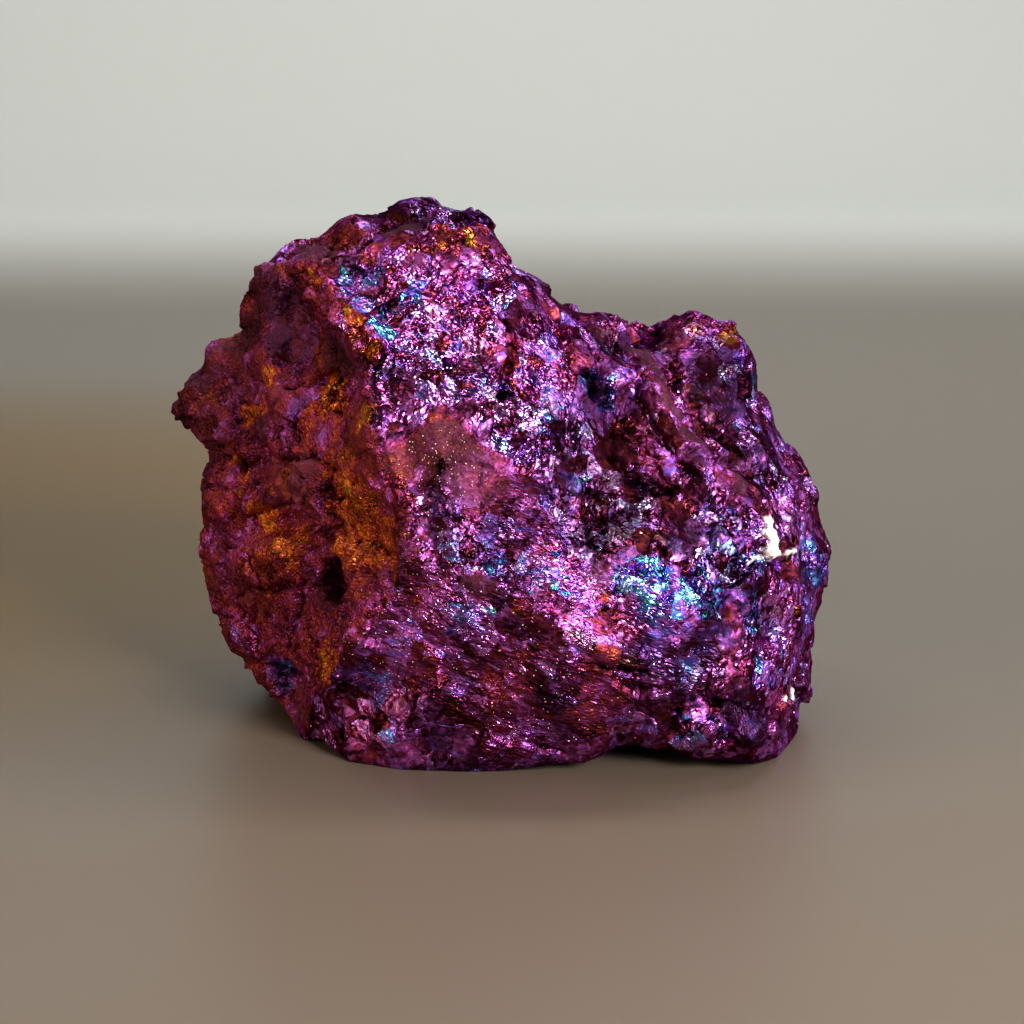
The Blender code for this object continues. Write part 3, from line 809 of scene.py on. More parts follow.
# The folds in their faces, which look like crumpled foil: size in millimetres and slopes.
FOLD_SIZE, FOLD_SLOPE, GRAIN_RISE = 1.0, 0.5, 0.3
# Plates that are either bright or dull: their size in millimetres and the share that is bright.
PLATE_SIZE, BRIGHT_SHARE = 2.6, 0.6
# Cracks between plates: width and unevenness, as shares of a plate, and the slope of their sides.
CRACK_WIDTH, CRACK_GAPS, CRACK_SLOPE = 0.05, 0.5, 0.5
# Creases in the crust on the left: their width, as a part of the noise they follow, their depth in
# millimetres, and the scales of that noise and of the noise that leaves some out.
CREASE_WIDTH, CREASE_DEPTH, CREASE_SCALE, CREASE_GAPS = 0.02, 0.25, 330.0, 210.0
# Grains that lean this way catch the key light: the material paints them paler, lighter and with thicker
# film, as a painted highlight.
BRIGHT_WAY = (0.3, -0.85, 0.44)
# What a dull plate loses of its shine, its film and its tone.
DULL_SHINE, DULL_FILM, DULL_TONE = 0.32, 0.06, 0.12
# How much of the film's variation comes from a grain's lean towards the key light, which is painted light,
# and from the bends.
LEAN_FILM, BEND_FILM = 2.4, 3.0
# A grain whose random number is this far above the middle is a fleck with so much more film.
FLECK_START, FLECK_FILM = 0.43, 0.26
# Change of tone by a grain's lean towards the key light, which is painted light and shade, by chance and by
# its shine.
LEAN_TONE, CHANCE_TONE, SHINE_TONE = 0.7, 0.36, 0.3
# Strength of the matt coat, and of the painted shade in a fold or crack, in a crease and in a hollow.
MATT_COAT, CRACK_SHADE, CREASE_SHADE, HOLLOW_SHADE = 0.85, 0.8, 0.85, 0.9
# Roughness of the dullest and of the brightest ore.
DULL_ROUGH, BRIGHT_ROUGH = 0.62, 0.17


class Nodes:
    """Short ways to add and join a material's nodes."""

    def __init__(self, name):
        self.material = bpy.data.materials.new(name)
        self.material.use_nodes = True
        self.tree = self.material.node_tree
        self.surface = self.tree.nodes["Principled BSDF"]

    def add(self, kind, **settings):
        node = self.tree.nodes.new(kind)
        for setting, value in settings.items():
            setattr(node, setting, value)
        return node

    def put(self, socket, value):
        if isinstance(value, bpy.types.NodeSocket):
            self.tree.links.new(value, socket)
        else:
            socket.default_value = value

    def attribute(self, name):
        return self.add("ShaderNodeAttribute", attribute_name=name).outputs["Fac"]

    def math(self, operation, one, other=0.0, third=0.0, clamp=False):
        node = self.add("ShaderNodeMath", operation=operation, use_clamp=clamp)
        for socket, value in zip(node.inputs, (one, other, third)):
            self.put(socket, value)
        return node.outputs[0]

    def plus(self, base, value, factor=1.0):
        """base + value * factor"""
        return self.math("MULTIPLY_ADD", value, factor, base)

    def times(self, one, other):
        return self.math("MULTIPLY", one, other)

    def most(self, one, other):
        return self.math("MAXIMUM", one, other)

    def vector(self, operation, one, other=(0.0, 0.0, 0.0)):
        node = self.add("ShaderNodeVectorMath", operation=operation)
        self.put(node.inputs[0], one)
        self.put(node.inputs["Scale"] if operation == "SCALE" else node.inputs[1], other)
        return node.outputs["Value" if operation == "DOT_PRODUCT" else "Vector"]

    def centred(self, colour):
        """A random colour as a vector about zero."""
        return self.vector("SUBTRACT", colour, MIDDLE)

    def moved(self, vector, way, reach):
        """vector + way * reach"""
        return self.vector("ADD", vector, self.vector("SCALE", way, reach))

    def parts(self, vector):
        node = self.add("ShaderNodeSeparateXYZ")
        self.put(node.inputs[0], vector)
        return node.outputs

    def fit(self, value, low, high, to_low=0.0, to_high=1.0):
        """A soft step from to_low at low to to_high at high."""
        node = self.add("ShaderNodeMapRange", interpolation_type="SMOOTHSTEP")
        for name, number in (("Value", value), ("From Min", low), ("From Max", high),
                             ("To Min", to_low), ("To Max", to_high)):
            self.put(node.inputs[name], number)
        return node.outputs[0]

    def mix(self, share, one, other, kind="RGBA"):
        node = self.add("ShaderNodeMix", data_type=kind)
        ending = {"RGBA": "Color", "VECTOR": "Vector"}[kind]
        sockets = {each.identifier: each for each in node.inputs}
        self.put(sockets["Factor_Float"], share)
        for name, value in (("A_" + ending, one), ("B_" + ending, other)):
            if kind == "RGBA" and not isinstance(value, bpy.types.NodeSocket):
                value = (*value, 1.0)
            self.put(sockets[name], value)
        return next(each for each in node.outputs if each.identifier == "Result_" + ending)

    def noise(self, where, scale, detail=3.0, rough=0.6, output="Fac"):
        node = self.add("ShaderNodeTexNoise")
        self.put(node.inputs["Vector"], where)
        for name, value in (("Scale", scale), ("Detail", detail), ("Roughness", rough)):
            node.inputs[name].default_value = value
        return node.outputs[output]

    def cells(self, where, size, feature="F1"):
        node = self.add("ShaderNodeTexVoronoi", feature=feature)
        self.put(node.inputs["Vector"], where)
        node.inputs["Scale"].default_value = 1.0 / (size * MM)
        return node.outputs

    def ramp(self, value, stops):
        node = self.add("ShaderNodeValToRGB")
        ramp = node.color_ramp
        while len(ramp.elements) > 1:
            ramp.elements.remove(ramp.elements[-1])
        ramp.elements[0].position = stops[0][0]
        ramp.elements[0].color = (*stops[0][1], 1.0)
        for position, colour in stops[1:]:
            ramp.elements.new(position).color = (*colour, 1.0)
        self.put(node.inputs["Fac"], value)
        return node.outputs["Color"]

    def brighten(self, colour, level):
        node = self.add("ShaderNodeHueSaturation")
        self.put(node.inputs["Color"], colour)
        self.put(node.inputs["Value"], level)
        return node.outputs["Color"]

    def give(self, name, value):
        """Sets or links an input of the shader itself."""
        self.put(self.surface.inputs[name], value)


class OreNodes(Nodes):
    """The tarnished ore's material, worked out in steps that share what they find."""

    def __init__(self, settings):
        super().__init__("tarnished_ore")
        self.settings = settings
        self.where = self.add("ShaderNodeTexCoord").outputs["Object"]
        self.film, self.tone = self.attribute("film"), self.attribute("tone")
        self.shine, self.left = self.attribute("shine"), self.attribute("left")
        self.striated = self.math("GREATER_THAN", self.attribute("grain"), 0.5)
        self.broken = self.plus(1.0, self.attribute("flat"), -0.75)

    def break_up(self):
        """Lays out the plates, the cracks between them and the creases of the crust on the left."""
        self.bend = self.centred(self.noise(self.where, BEND_SCALE, 2.0, 0.6, "Color"))
        bent = self.moved(self.where, self.bend, BEND_REACH * MM)
        self.plate = self.cells(bent, PLATE_SIZE)["Color"]
        self.lean = self.centred(self.plate)
        crack = self.cells(bent, PLATE_SIZE, "DISTANCE_TO_EDGE")["Distance"]
        self.crack = self.plus(crack, self.parts(self.bend)["Y"], CRACK_GAPS)
        crease = self.math("ABSOLUTE", self.math("SUBTRACT", self.noise(bent, CREASE_SCALE), 0.5))
        crease = self.fit(crease, 0.0, CREASE_WIDTH, 1.0, 0.0)
        kept = self.fit(self.noise(self.where, CREASE_GAPS, 1.0, 0.5), 0.46, 0.56)
        self.crease = self.times(self.times(crease, kept), self.left)
        return bent

    def stretch(self, bent):
        """Squeezes places one way in each plate, or along the ore's grain, so that cells come out long."""
        way = self.vector("NORMALIZE", self.mix(self.striated, self.lean, GRAIN_WAY, "VECTOR"))
        plain_squeeze, grain_squeeze = 1.0 / PLAIN_LENGTH - 1.0, 1.0 / GRAIN_LENGTH - 1.0
        squeeze = self.plus(plain_squeeze, self.striated, grain_squeeze - plain_squeeze)
        bent = self.moved(bent, way, self.times(self.vector("DOT_PRODUCT", bent, way), squeeze))
        gritty = self.most(self.striated, self.math("LESS_THAN", self.shine, 0.5))
        return self.vector("SCALE", bent, self.plus(1.0, gritty, 1.0 / GRAIN_FINENESS - 1.0))

    def tilt_grains(self, bent):
        """Each plate and each grain leans its own way; dull plates lie flatter and shine less."""
        coarse = self.centred(self.cells(bent, COARSE_GRAIN)["Color"])
        self.fine_cells = self.cells(bent, FINE_GRAIN)
        fine = self.centred(self.fine_cells["Color"])
        tilt = self.vector("SCALE", self.lean, PLATE_LEAN)
        tilt = self.moved(tilt, coarse, COARSE_LEAN)
        tilt = self.moved(tilt, fine, self.times(self.broken, FINE_LEAN))
        self.coarse, self.fine = self.parts(coarse), self.parts(fine)
        # How far each grain faces the key light, from which the material paints light and shade.
        self.facing = self.vector("DOT_PRODUCT", tilt, BRIGHT_WAY)
        dull = self.math("GREATER_THAN", self.parts(self.plate)["X"], BRIGHT_SHARE)
        self.dull = self.times(dull, self.fit(self.shine, 0.3, 0.5))
        local = self.plus(self.shine, self.dull, -DULL_SHINE)
        self.local = self.plus(local, self.fine["Y"], self.plus(0.28, self.striated, 0.4))
        relief = self.fit(self.local, 0.1, 0.9, 0.15, self.settings.glitter)
        self.relief = self.plus(relief, self.left, 0.3)
        normal = self.add("ShaderNodeNewGeometry").outputs["Normal"]
        return self.vector("NORMALIZE", self.moved(normal, tilt, self.relief))

    def fold_faces(self, bent, normal):
        """Crumples the faces, rounds off the plates at their cracks and sinks the creases."""
        self.border = self.cells(bent, FOLD_SIZE, "DISTANCE_TO_EDGE")["Distance"]
        folds = self.times(self.border, FOLD_SLOPE * FOLD_SIZE * MM)
        rise = self.times(self.broken, -GRAIN_RISE * FINE_GRAIN * MM)
        folds = self.plus(folds, self.fine_cells["Distance"], rise)
        brink = self.math("MINIMUM", self.crack, CRACK_WIDTH)
        folds = self.plus(folds, brink, CRACK_SLOPE * PLATE_SIZE * MM)
        folds = self.plus(folds, self.crease, -CREASE_DEPTH * MM)
        bump = self.add("ShaderNodeBump")
        bump.inputs["Distance"].default_value = 1.0
        self.put(bump.inputs["Strength"], self.math("MULTIPLY", self.relief, 1.0, clamp=True))
        self.put(bump.inputs["Height"], folds)
        self.put(bump.inputs["Normal"], normal)
        self.give("Normal", bump.outputs["Normal"])

    def film_colour(self):
        """Grains that face the key light get thicker film and a lighter tone, and grains turned from it the
        opposite, as painted light and shade; the film is thinner on dull plates and thickest on flecks.
        """
        variation = self.settings.film_variation
        lit_lean = self.times(self.facing, self.fit(self.local, 0.1, 0.7, 0.35, 1.1))
        film = self.plus(self.film, lit_lean, LEAN_FILM * variation)
        film = self.plus(film, self.parts(self.bend)["Z"], BEND_FILM * variation)
        film = self.plus(film, self.dull, -DULL_FILM)
        drift = self.math("SUBTRACT", self.parts(self.plate)["Z"], 0.5)
        drift = self.most(self.plus(drift, self.coarse["Z"], 0.6), -0.3)
        film = self.plus(film, drift, self.fit(self.shine, 0.1, 0.6, 0.8 * variation, 1.5 * variation))
        fleck = self.math("GREATER_THAN", self.coarse["Y"], FLECK_START)
        film = self.plus(film, fleck, self.fit(self.shine, 0.5, 0.9, 0.0, FLECK_FILM))
        level = self.plus(self.tone, lit_lean, LEAN_TONE)
        level = self.plus(level, self.fine["X"], CHANCE_TONE)
        level = self.plus(level, self.dull, -DULL_TONE)
        level = self.plus(level, self.math("SUBTRACT", self.local, 0.6), SHINE_TONE)
        return self.ramp(film, FILM_COLOURS), level

    def finish(self, colour, level):
        """Painted pale highlight, matt coat, painted shade in the cracks and hollows, and quartz over the
        film, and how metallic and smooth it all is.
        """
        settings = self.settings
        # The level carries the painted light and shade of the tone and of each grain's lean towards the key
        # light.
        colour = self.brighten(colour, self.fit(level, 0.0, 1.0, 0.18, 1.7))
        # Painted highlight: grains that face the key light are paled towards the highlight colour.
        pale = self.times(self.fit(self.facing, 0.0, 0.35), self.fit(self.local, 0.2, 0.8))
        colour = self.mix(self.times(pale, settings.highlight_paleness), colour, settings.highlight_colour)
        matt = self.fit(self.shine, 0.08, 0.34, 1.0, 0.0)
        crust = self.brighten((*settings.matt_colour, 1.0), self.fit(level, 0.0, 1.0, 0.4, 1.7))
        colour = self.mix(self.times(matt, MATT_COAT), colour, crust)

        # Painted shade: fold borders, plate cracks, creases and hollows are darkened towards the shade
        # colour.
        crevice_shade = self.times(self.fit(self.border, 0.0, 0.05, CRACK_SHADE, 0.0), self.shine)
        cracked = self.fit(self.crack, 0.0, CRACK_WIDTH, CRACK_SHADE, 0.0)
        cracked = self.times(cracked, self.fit(self.shine, 0.45, 0.8))
        crevice_shade = self.times(self.most(crevice_shade, cracked), self.broken)
        crevice_shade = self.most(crevice_shade, self.times(self.crease, CREASE_SHADE))
        crevice_shade = self.most(crevice_shade, self.fit(self.attribute("hollow"), 0.1, 0.6, 0.0, HOLLOW_SHADE))
        colour = self.mix(crevice_shade, colour, settings.crevice_shade_colour)
        quartz = self.attribute("quartz")
        brassy = self.fit(self.coarse["X"], -0.5, 0.5, 0.0, 0.4)
        chalk = self.mix(brassy, settings.quartz_colour, settings.brass_colour)
        self.give("Base Color", self.mix(quartz, colour, chalk))

        stone = self.most(quartz, self.times(matt, 0.6))
        self.give("Metallic", self.math("SUBTRACT", 0.97, stone, clamp=True))
        rough = self.fit(self.local, 0.0, 0.9, DULL_ROUGH, BRIGHT_ROUGH)
        self.give("Roughness", self.most(rough, self.times(stone, 0.5)))
        self.give("Coat Weight", self.times(pale, settings.glaze))
        self.give("Coat Roughness", 0.12)
        self.give("Specular IOR Level", 0.35)
        self.give("Specular Tint", (0.55, 0.30, 0.55, 1.0))


def ore_material(settings):
    nodes = OreNodes(settings)
    bent = nodes.stretch(nodes.break_up())
    nodes.fold_faces(bent, nodes.tilt_grains(bent))
    nodes.finish(*nodes.film_colour())
    return nodes.material


def crystal_material(settings):
    """The clean faces of single crystals: the same film on smoother metal."""
    nodes = Nodes("crystal_faces")
    pick = nodes.attribute("pick")
    film = nodes.plus(nodes.attribute("film"), nodes.math("SUBTRACT", pick, 0.5), 0.22)
    level = nodes.fit(pick, 0.0, 1.0, 0.9, 1.7)
    nodes.give("Base Color", nodes.brighten(nodes.ramp(film, FILM_COLOURS), level))
    nodes.give("Metallic", 0.95)
    nodes.give("Roughness", 0.16)
    nodes.give("Coat Weight", settings.glaze)
    nodes.give("Coat Roughness", 0.08)
    return nodes.material


def pale_material(settings):
    """Glassy quartz grains, some of them brassy."""
    nodes = Nodes("pale_grains")
    brassy = nodes.fit(nodes.attribute("pick"), 0.4, 1.0)
    nodes.give("Base Color", nodes.mix(brassy, settings.quartz_colour, settings.brass_colour))
    nodes.give("Roughness", 0.25)
    nodes.give("Specular IOR Level", 0.7)
    return nodes.material


# The middle of the painted shadow on the floor at the left, a dark brownish area where the lump's shadow
# falls, and one over its half-widths, in metres.
SHADOW_PLACE = (-0.10, 0.082, 0.0)
SHADOW_SQUEEZE = (1.0 / 0.11, 1.0 / 0.08, 0.0)


def floor_material(settings):
    """Floor that is paler in front, with a painted shadow at the left, and turns into the backdrop."""
    nodes = Nodes("studio_floor")
    where = nodes.add("ShaderNodeTexCoord").outputs["Object"]
    place = nodes.parts(where)
    floor = nodes.mix(nodes.fit(place["Y"], -0.09, 0.06), settings.near_colour, settings.floor_colour)
    gap = nodes.vector("MULTIPLY", nodes.vector("SUBTRACT", where, SHADOW_PLACE), SHADOW_SQUEEZE)
    # Painted shadow: the floor darkens towards a brownish shadow colour about the shadow's middle.
    painted_shadow = nodes.fit(nodes.vector("DOT_PRODUCT", gap, gap), 0.0, 2.3, 1.0, 0.0)
    floor = nodes.mix(painted_shadow, floor, settings.painted_shadow_colour)
    far = nodes.fit(place["Y"], settings.horizon - 0.1, settings.horizon + 0.1)
    wall = nodes.mix(nodes.fit(place["Z"], 0.02, 0.6), settings.horizon_colour, settings.backdrop_colour)
    nodes.give("Base Color", nodes.mix(far, floor, wall))
    nodes.give("Roughness", 0.42)
    nodes.give("Specular IOR Level", 0.4)
    return nodes.material


# ---- scattered crystals --------------------------------------------------------------------------


def scatter_tree(name):
    """Node tree that scatters small five-sided crystals over a surface, by a weight stored on it."""
    tree = bpy.data.node_groups.new(name, "GeometryNodeTree")
    tree.interface.new_socket("Geometry", in_out="INPUT", socket_type="NodeSocketGeometry")
    for socket, kind in (
        ("Weight", "NodeSocketString"), ("Density", "NodeSocketFloat"), ("Size", "NodeSocketFloat"),
        ("Flatness", "NodeSocketFloat"), ("Tilt", "NodeSocketFloat"), ("Seed", "NodeSocketInt"),
        ("Material", "NodeSocketMaterial"),
    ):
        tree.interface.new_socket(socket, in_out="INPUT", socket_type=kind)
    tree.interface.new_socket("Geometry", in_out="OUTPUT", socket_type="NodeSocketGeometry")

    def add(kind, inputs=None, **settings):
        node = tree.nodes.new(kind)
        for setting, value in settings.items():
            setattr(node, setting, value)
        for socket, value in (inputs or {}).items():
            if isinstance(value, bpy.types.NodeSocket):
                tree.links.new(value, node.inputs[socket])
            else:
                node.inputs[socket].default_value = value
        return node

    given = add("NodeGroupInput").outputs
    seed = given["Seed"]
    weight = add("GeometryNodeInputNamedAttribute", {"Name": given["Weight"]}, data_type="FLOAT")
    density = add("ShaderNodeMath", {0: weight.outputs["Attribute"], 1: given["Density"]},
                  operation="MULTIPLY")
    points = add("GeometryNodeDistributePointsOnFaces", {
        "Mesh": given["Geometry"], "Density": density.outputs[0], "Seed": seed,
    })
    lean = add("FunctionNodeRandomValue", {
        "Min": (-1.0, -1.0, -math.pi), "Max": (1.0, 1.0, math.pi), "Seed": seed,
    }, data_type="FLOAT_VECTOR")
    limits = add("ShaderNodeCombineXYZ", {"X": given["Tilt"], "Y": given["Tilt"], "Z": 1.0})
    lean = add("ShaderNodeVectorMath", {0: lean.outputs["Value"], 1: limits.outputs[0]},
               operation="MULTIPLY")
    lean = add("FunctionNodeEulerToRotation", {0: lean.outputs[0]})
    turned = add("FunctionNodeRotateRotation", {0: points.outputs["Rotation"], 1: lean.outputs[0]},
                 rotation_space="LOCAL")
    shape = add("FunctionNodeRandomValue", {
        "Min": (0.6, 0.35, 0.3), "Max": (1.3, 0.8, 0.9), "Seed": seed,
    }, data_type="FLOAT_VECTOR")
    flat = add("ShaderNodeCombineXYZ", {"X": 1.0, "Y": 1.0, "Z": given["Flatness"]})
    shape = add("ShaderNodeVectorMath", {0: shape.outputs["Value"], 1: flat.outputs[0]},
                operation="MULTIPLY")
    shape = add("ShaderNodeVectorMath", {0: shape.outputs[0], "Scale": given["Size"]}, operation="SCALE")
    crystal = add("GeometryNodeMeshCylinder", {"Vertices": 5, "Radius": 1.0, "Depth": 1.0})
    placed = add("GeometryNodeInstanceOnPoints", {
        "Points": points.outputs["Points"], "Instance": crystal.outputs["Mesh"],
        "Rotation": turned.outputs[0], "Scale": shape.outputs[0],
    })
    pick = add("FunctionNodeRandomValue", {"Seed": seed}, data_type="FLOAT")
    kept = add("GeometryNodeStoreNamedAttribute", {
        "Geometry": placed.outputs[0], "Name": "pick", "Value": pick.outputs[1],
    }, domain="INSTANCE", data_type="FLOAT")
    real = add("GeometryNodeRealizeInstances", {"Geometry": kept.outputs[0]})
    finished = add("GeometryNodeSetMaterial", {"Geometry": real.outputs[0], "Material": given["Material"]})
    add("NodeGroupOutput", {"Geometry": finished.outputs[0]})
    return tree


def scattered(name, ground, values):
    """The mesh that the scatter tree makes over a ground mesh."""
    tree = scatter_tree(name)
    carrier = link(name + "_ground", ground)
    modifier = carrier.modifiers.new(name, "NODES")
    modifier.node_group = tree
    sockets = {each.name: each.identifier for each in tree.interface.items_tree if each.in_out == "INPUT"}
    for socket, value in values.items():
        modifier[sockets[socket]] = value
    depsgraph = bpy.context.evaluated_depsgraph_get()
    mesh = bpy.data.meshes.new_from_object(
        carrier.evaluated_get(depsgraph), preserve_all_data_layers=True, depsgraph=depsgraph
    )
    bpy.data.objects.remove(carrier)
    mesh.name = name
    return mesh


# ---- stage ---------------------------------------------------------------------------------------

# The floor and the backdrop, one bent sheet: its width, where it starts in front and ends behind, how
# high it rises and the radius of the bend, in metres.
SHEET_WIDTH, SHEET_FRONT, SHEET_BACK, SHEET_TOP, SHEET_BEND = 3.0, -1.2, 0.9, 1.2, 0.4
BEND_STEPS = 12
ORE_MIDDLE = (0.0, 0.0, 0.03)
# Soft lights: (place, what it points at, width and depth, colour), in metres.
LIGHTS = {
    "key": ((0.38, -0.42, 0.31), ORE_MIDDLE, (0.2, 0.2), (1.0, 0.99, 0.98)),
    "side": ((0.60, 0.0, 0.30), ORE_MIDDLE, (0.25, 0.35), (0.95, 0.97, 1.0)),
    "fill": ((-0.52, -0.30, 0.26), ORE_MIDDLE, (0.4, 0.4), (1.0, 0.80, 0.56)),
    "backdrop": ((0.0, 0.30, 0.85), (0.0, 0.8, 0.1), (1.2, 0.3), (0.97, 1.0, 0.99)),
}
AIR_COLOUR, AIR_STRENGTH = (0.55, 0.53, 0.5, 1.0), 0.09
SENSOR_WIDTH = 36.0
CLIP_START, CLIP_END = 0.01, 20.0


def link(name, data):
    """A new object in the scene."""
    made = bpy.data.objects.new(name, data)
    bpy.context.scene.collection.objects.link(made)
    return made


def sheet_mesh():
    """The floor, which bends up into the backdrop."""
    outline = [(SHEET_FRONT, 0.0)]
    for number in range(BEND_STEPS + 1):
        angle = math.radians(90.0 * number / BEND_STEPS)
        outline.append((
            SHEET_BACK - SHEET_BEND + SHEET_BEND * math.sin(angle),
            SHEET_BEND - SHEET_BEND * math.cos(angle),
        ))
    outline.append((SHEET_BACK, SHEET_TOP))
    sheet = bmesh.new()
    rows = [
        [sheet.verts.new((side * SHEET_WIDTH / 2, y, z)) for side in (-1.0, 1.0)] for y, z in outline
    ]
    for near, far in zip(rows, rows[1:]):
        sheet.faces.new((near[0], near[1], far[1], far[0]))
    mesh = bpy.data.meshes.new("studio_floor")
    sheet.to_mesh(mesh)
    sheet.free()
    mesh.shade_smooth()
    return mesh


def soft_light(name, place, aim, size, power, colour):
    data = bpy.data.lights.new(name, "AREA")
    data.shape = "RECTANGLE"
    data.size, data.size_y = size
    data.energy = power
    data.color = colour
    light = link(name, data)
    light.location = place
    light.rotation_euler = (Vector(aim) - Vector(place)).to_track_quat("-Z", "Y").to_euler()


def light_up(scene, settings):
    """The lights, the faint light from all round, and how the picture is developed."""
    for name, (place, aim, size, colour) in LIGHTS.items():
        soft_light(name + "_light", place, aim, size, getattr(settings, name + "_power"), colour)
    world = bpy.data.worlds.new("studio_air")
    world.use_nodes = True
    air = world.node_tree.nodes["Background"]
    air.inputs["Color"].default_value = AIR_COLOUR
    air.inputs["Strength"].default_value = AIR_STRENGTH
    scene.world = world
    scene.view_settings.view_transform = "Standard"
    scene.view_settings.look = "Medium High Contrast"


def set_camera(scene):
    """The camera, where the eye is."""
    data = bpy.data.cameras.new("camera")
    data.sensor_width = SENSOR_WIDTH
    data.lens = SENSOR_WIDTH * EYE_DISTANCE / VIEW_WIDTH
    data.clip_start, data.clip_end = CLIP_START, CLIP_END
    camera = link("camera", data)
    camera.location = EYE * MM
    camera.rotation_euler = FORWARD.to_track_quat("-Z", "Y").to_euler()
    scene.camera = camera


# ---- settings, operators and panel ---------------------------------------------------------------


def colour_property(name, description, default):
    return bpy.props.FloatVectorProperty(
        name=name, description=description, default=default, subtype="COLOR", min=0.0, max=1.0
    )


def power_property(name, description, default):
    return bpy.props.FloatProperty(name=name, description=description, default=default, unit="POWER")


class OreSettings(bpy.types.PropertyGroup):
    film_variation: bpy.props.FloatProperty(
        name="Film variation", description="How much the film's thickness varies from grain to grain",
        default=0.14, min=0.0, max=1.0, subtype="FACTOR",
    )
    glitter: bpy.props.FloatProperty(
        name="Glitter", description="How far the grains of the brightest ore tilt",
        default=1.0, min=0.0, max=2.0,
    )
    glaze: bpy.props.FloatProperty(
        name="Glaze", description="Strength of the colourless gleam over the tarnish",
        default=0.36, min=0.0, max=1.0, subtype="FACTOR",
    )
    # Paleness and the pale film set the painted highlight on grains that face the key light.
    highlight_paleness: bpy.props.FloatProperty(
        name="Paleness", description="How far the film pales on grains that catch the light",
        default=0.2, min=0.0, max=1.0, subtype="FACTOR",
    )
    highlight_colour: colour_property("Pale film", "Colour towards which bright grains pale", (0.90, 0.82, 0.96))
    matt_colour: colour_property("Matt coat", "Colour of the dull crust", (0.092, 0.023, 0.034))
    # The colour of the shade painted deep in the pits, cracks, creases and hollows.
    crevice_shade_colour: colour_property("Crevice shade", "Colour deep in the pits and cracks", (0.012, 0.002, 0.008))
    quartz_colour: colour_property("Quartz", "Colour of the quartz inclusions", (0.82, 0.78, 0.72))
    brass_colour: colour_property("Brass", "Colour of the brassy grains", (0.70, 0.52, 0.22))
    crystal_size: bpy.props.FloatProperty(
        name="Crystal size", description="Half the width of a single crystal",
        default=0.16 * MM, min=0.05 * MM, max=1.0 * MM, unit="LENGTH",
    )
    crystal_density: bpy.props.FloatProperty(
        name="Crystal density", description="Crystals on a square metre of the brightest ore",
        default=0.3e6, min=0.0,
    )
    grain_size: bpy.props.FloatProperty(
        name="Pale grain size", description="Half the width of a pale grain",
        default=0.09 * MM, min=0.02 * MM, max=1.0 * MM, unit="LENGTH",
    )
    grain_density: bpy.props.FloatProperty(
        name="Pale grain density", description="Pale grains on a square metre where they lie thickest",
        default=1.6e6, min=0.0,
    )


class StageSettings(bpy.types.PropertyGroup):
    near_colour: colour_property("Near floor", "Colour of the floor in front", (0.160, 0.122, 0.091))
    floor_colour: colour_property("Floor", "Colour of the floor", (0.120, 0.098, 0.076))
    # The colour of the shadow painted on the floor at the left.
    painted_shadow_colour: colour_property("Warm floor", "Colour of the floor at the left", (0.104, 0.056, 0.008))
    horizon_colour: colour_property("Horizon", "Colour where floor and backdrop meet",
                                    (0.405, 0.402, 0.376))
    backdrop_colour: colour_property("Backdrop", "Colour of the backdrop", (0.55, 0.63, 0.70))
    horizon: bpy.props.FloatProperty(
        name="Horizon", description="Distance at which the floor turns into the backdrop",
        default=0.36, unit="LENGTH",
    )
    key_power: power_property("Key light", "Power of the strong light in front", 5.0)
    side_power: power_property("Side light", "Power of the light on the right", 1.6)
    fill_power: power_property("Fill light", "Power of the weak light on the left", 1.4)
    backdrop_power: power_property("Backdrop light", "Power of the light on the backdrop", 9.0)


def add_piece(name, mesh):
    """Puts a finished mesh into the scene as a piece of the ore."""
    piece = link(name, mesh)
    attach(piece, "root")
    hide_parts("ore")


class ORE_OT_skin(bpy.types.Operator):
    """Builds the fine broken surface of the ore, with its tarnish"""
    bl_idname = "ore.skin"
    bl_label = "Ore Surface"

    def execute(self, context):
        mesh = make_skin()
        mesh.materials.append(ore_material(context.scene.ore_settings))
        add_piece("ore_surface", mesh)
        return {"FINISHED"}


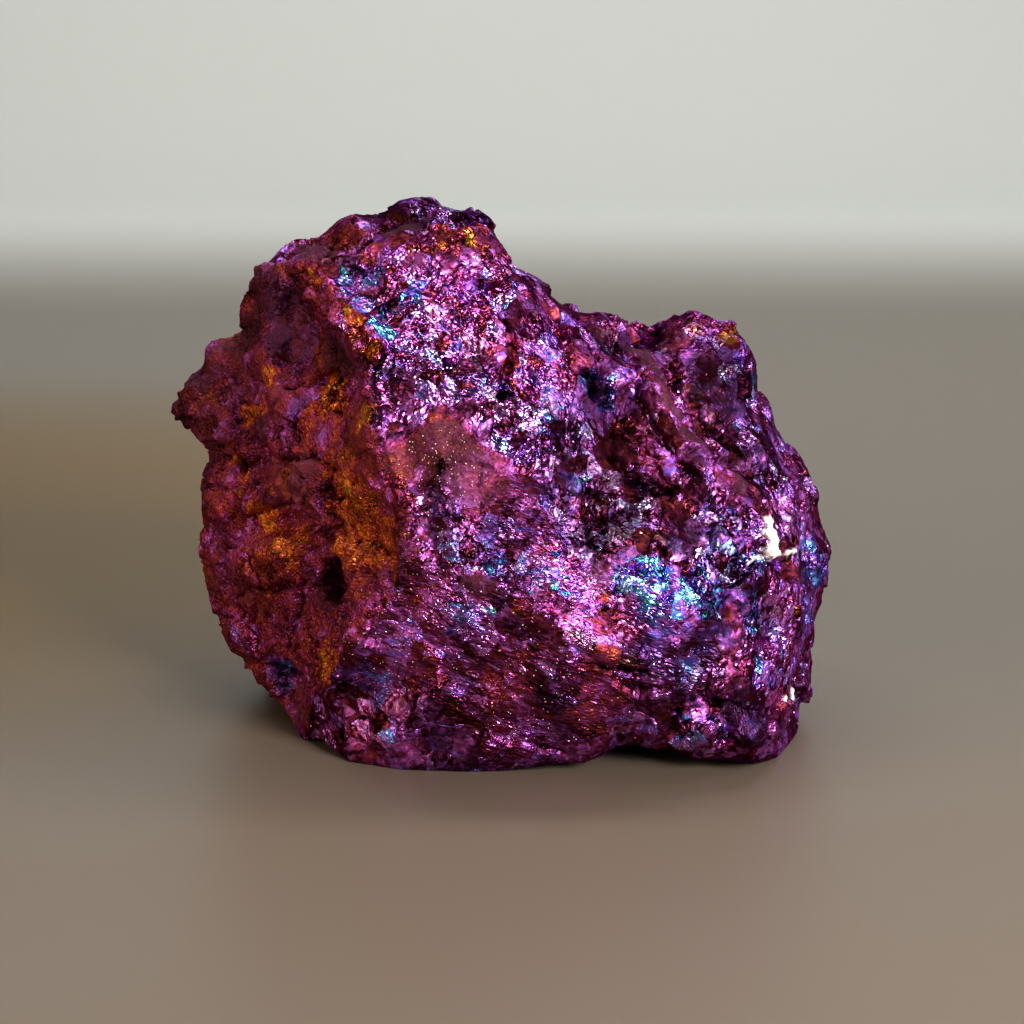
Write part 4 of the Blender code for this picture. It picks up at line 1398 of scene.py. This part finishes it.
class ORE_OT_crystals(bpy.types.Operator):
    """Scatters single crystals over the bright ore, and pale grains over the dull"""
    bl_idname = "ore.crystals"
    bl_label = "Crystals and Grains"

    def execute(self, context):
        settings = context.scene.ore_settings
        ground = bpy.data.objects["ore_surface"].data
        add_piece("ore_crystals", scattered("ore_crystals", ground, {
            "Weight": "sparkle", "Density": settings.crystal_density, "Size": settings.crystal_size,
            "Flatness": 0.6, "Tilt": 0.7, "Seed": 3, "Material": crystal_material(settings),
        }))
        add_piece("pale_grains", scattered("pale_grains", ground, {
            "Weight": "dust", "Density": settings.grain_density, "Size": settings.grain_size,
            "Flatness": 1.0, "Tilt": 0.8, "Seed": 5, "Material": pale_material(settings),
        }))
        return {"FINISHED"}


class ORE_OT_stage(bpy.types.Operator):
    """Builds the floor, the lights and the camera"""
    bl_idname = "ore.stage"
    bl_label = "Studio Stage"

    def execute(self, context):
        settings = context.scene.stage_settings
        mesh = sheet_mesh()
        mesh.materials.append(floor_material(settings))
        link("studio_floor", mesh)
        light_up(context.scene, settings)
        set_camera(context.scene)
        return {"FINISHED"}


class ORE_PT_panel(bpy.types.Panel):
    """Lists the steps and their settings"""
    bl_label = "Ore Specimen"
    bl_space_type = "VIEW_3D"
    bl_region_type = "UI"
    bl_category = "Ore"

    def draw(self, context):
        for operators, group in ((("ore.skin", "ore.crystals"), context.scene.ore_settings),
                                 (("ore.stage",), context.scene.stage_settings)):
            for operator in operators:
                self.layout.operator(operator)
            for name in group.__annotations__:
                self.layout.prop(group, name)


CLASSES = (OreSettings, StageSettings, ORE_OT_skin, ORE_OT_crystals, ORE_OT_stage, ORE_PT_panel)


def register():
    for each in CLASSES:
        bpy.utils.register_class(each)
    bpy.types.Scene.ore_settings = bpy.props.PointerProperty(type=OreSettings)
    bpy.types.Scene.stage_settings = bpy.props.PointerProperty(type=StageSettings)


def unregister():
    del bpy.types.Scene.stage_settings
    del bpy.types.Scene.ore_settings
    for each in reversed(CLASSES):
        bpy.utils.unregister_class(each)


def main():
    register()
    bpy.ops.ore.skin()
    bpy.ops.ore.crystals()
    bpy.ops.ore.stage()


if __name__ == "__main__":
    main()
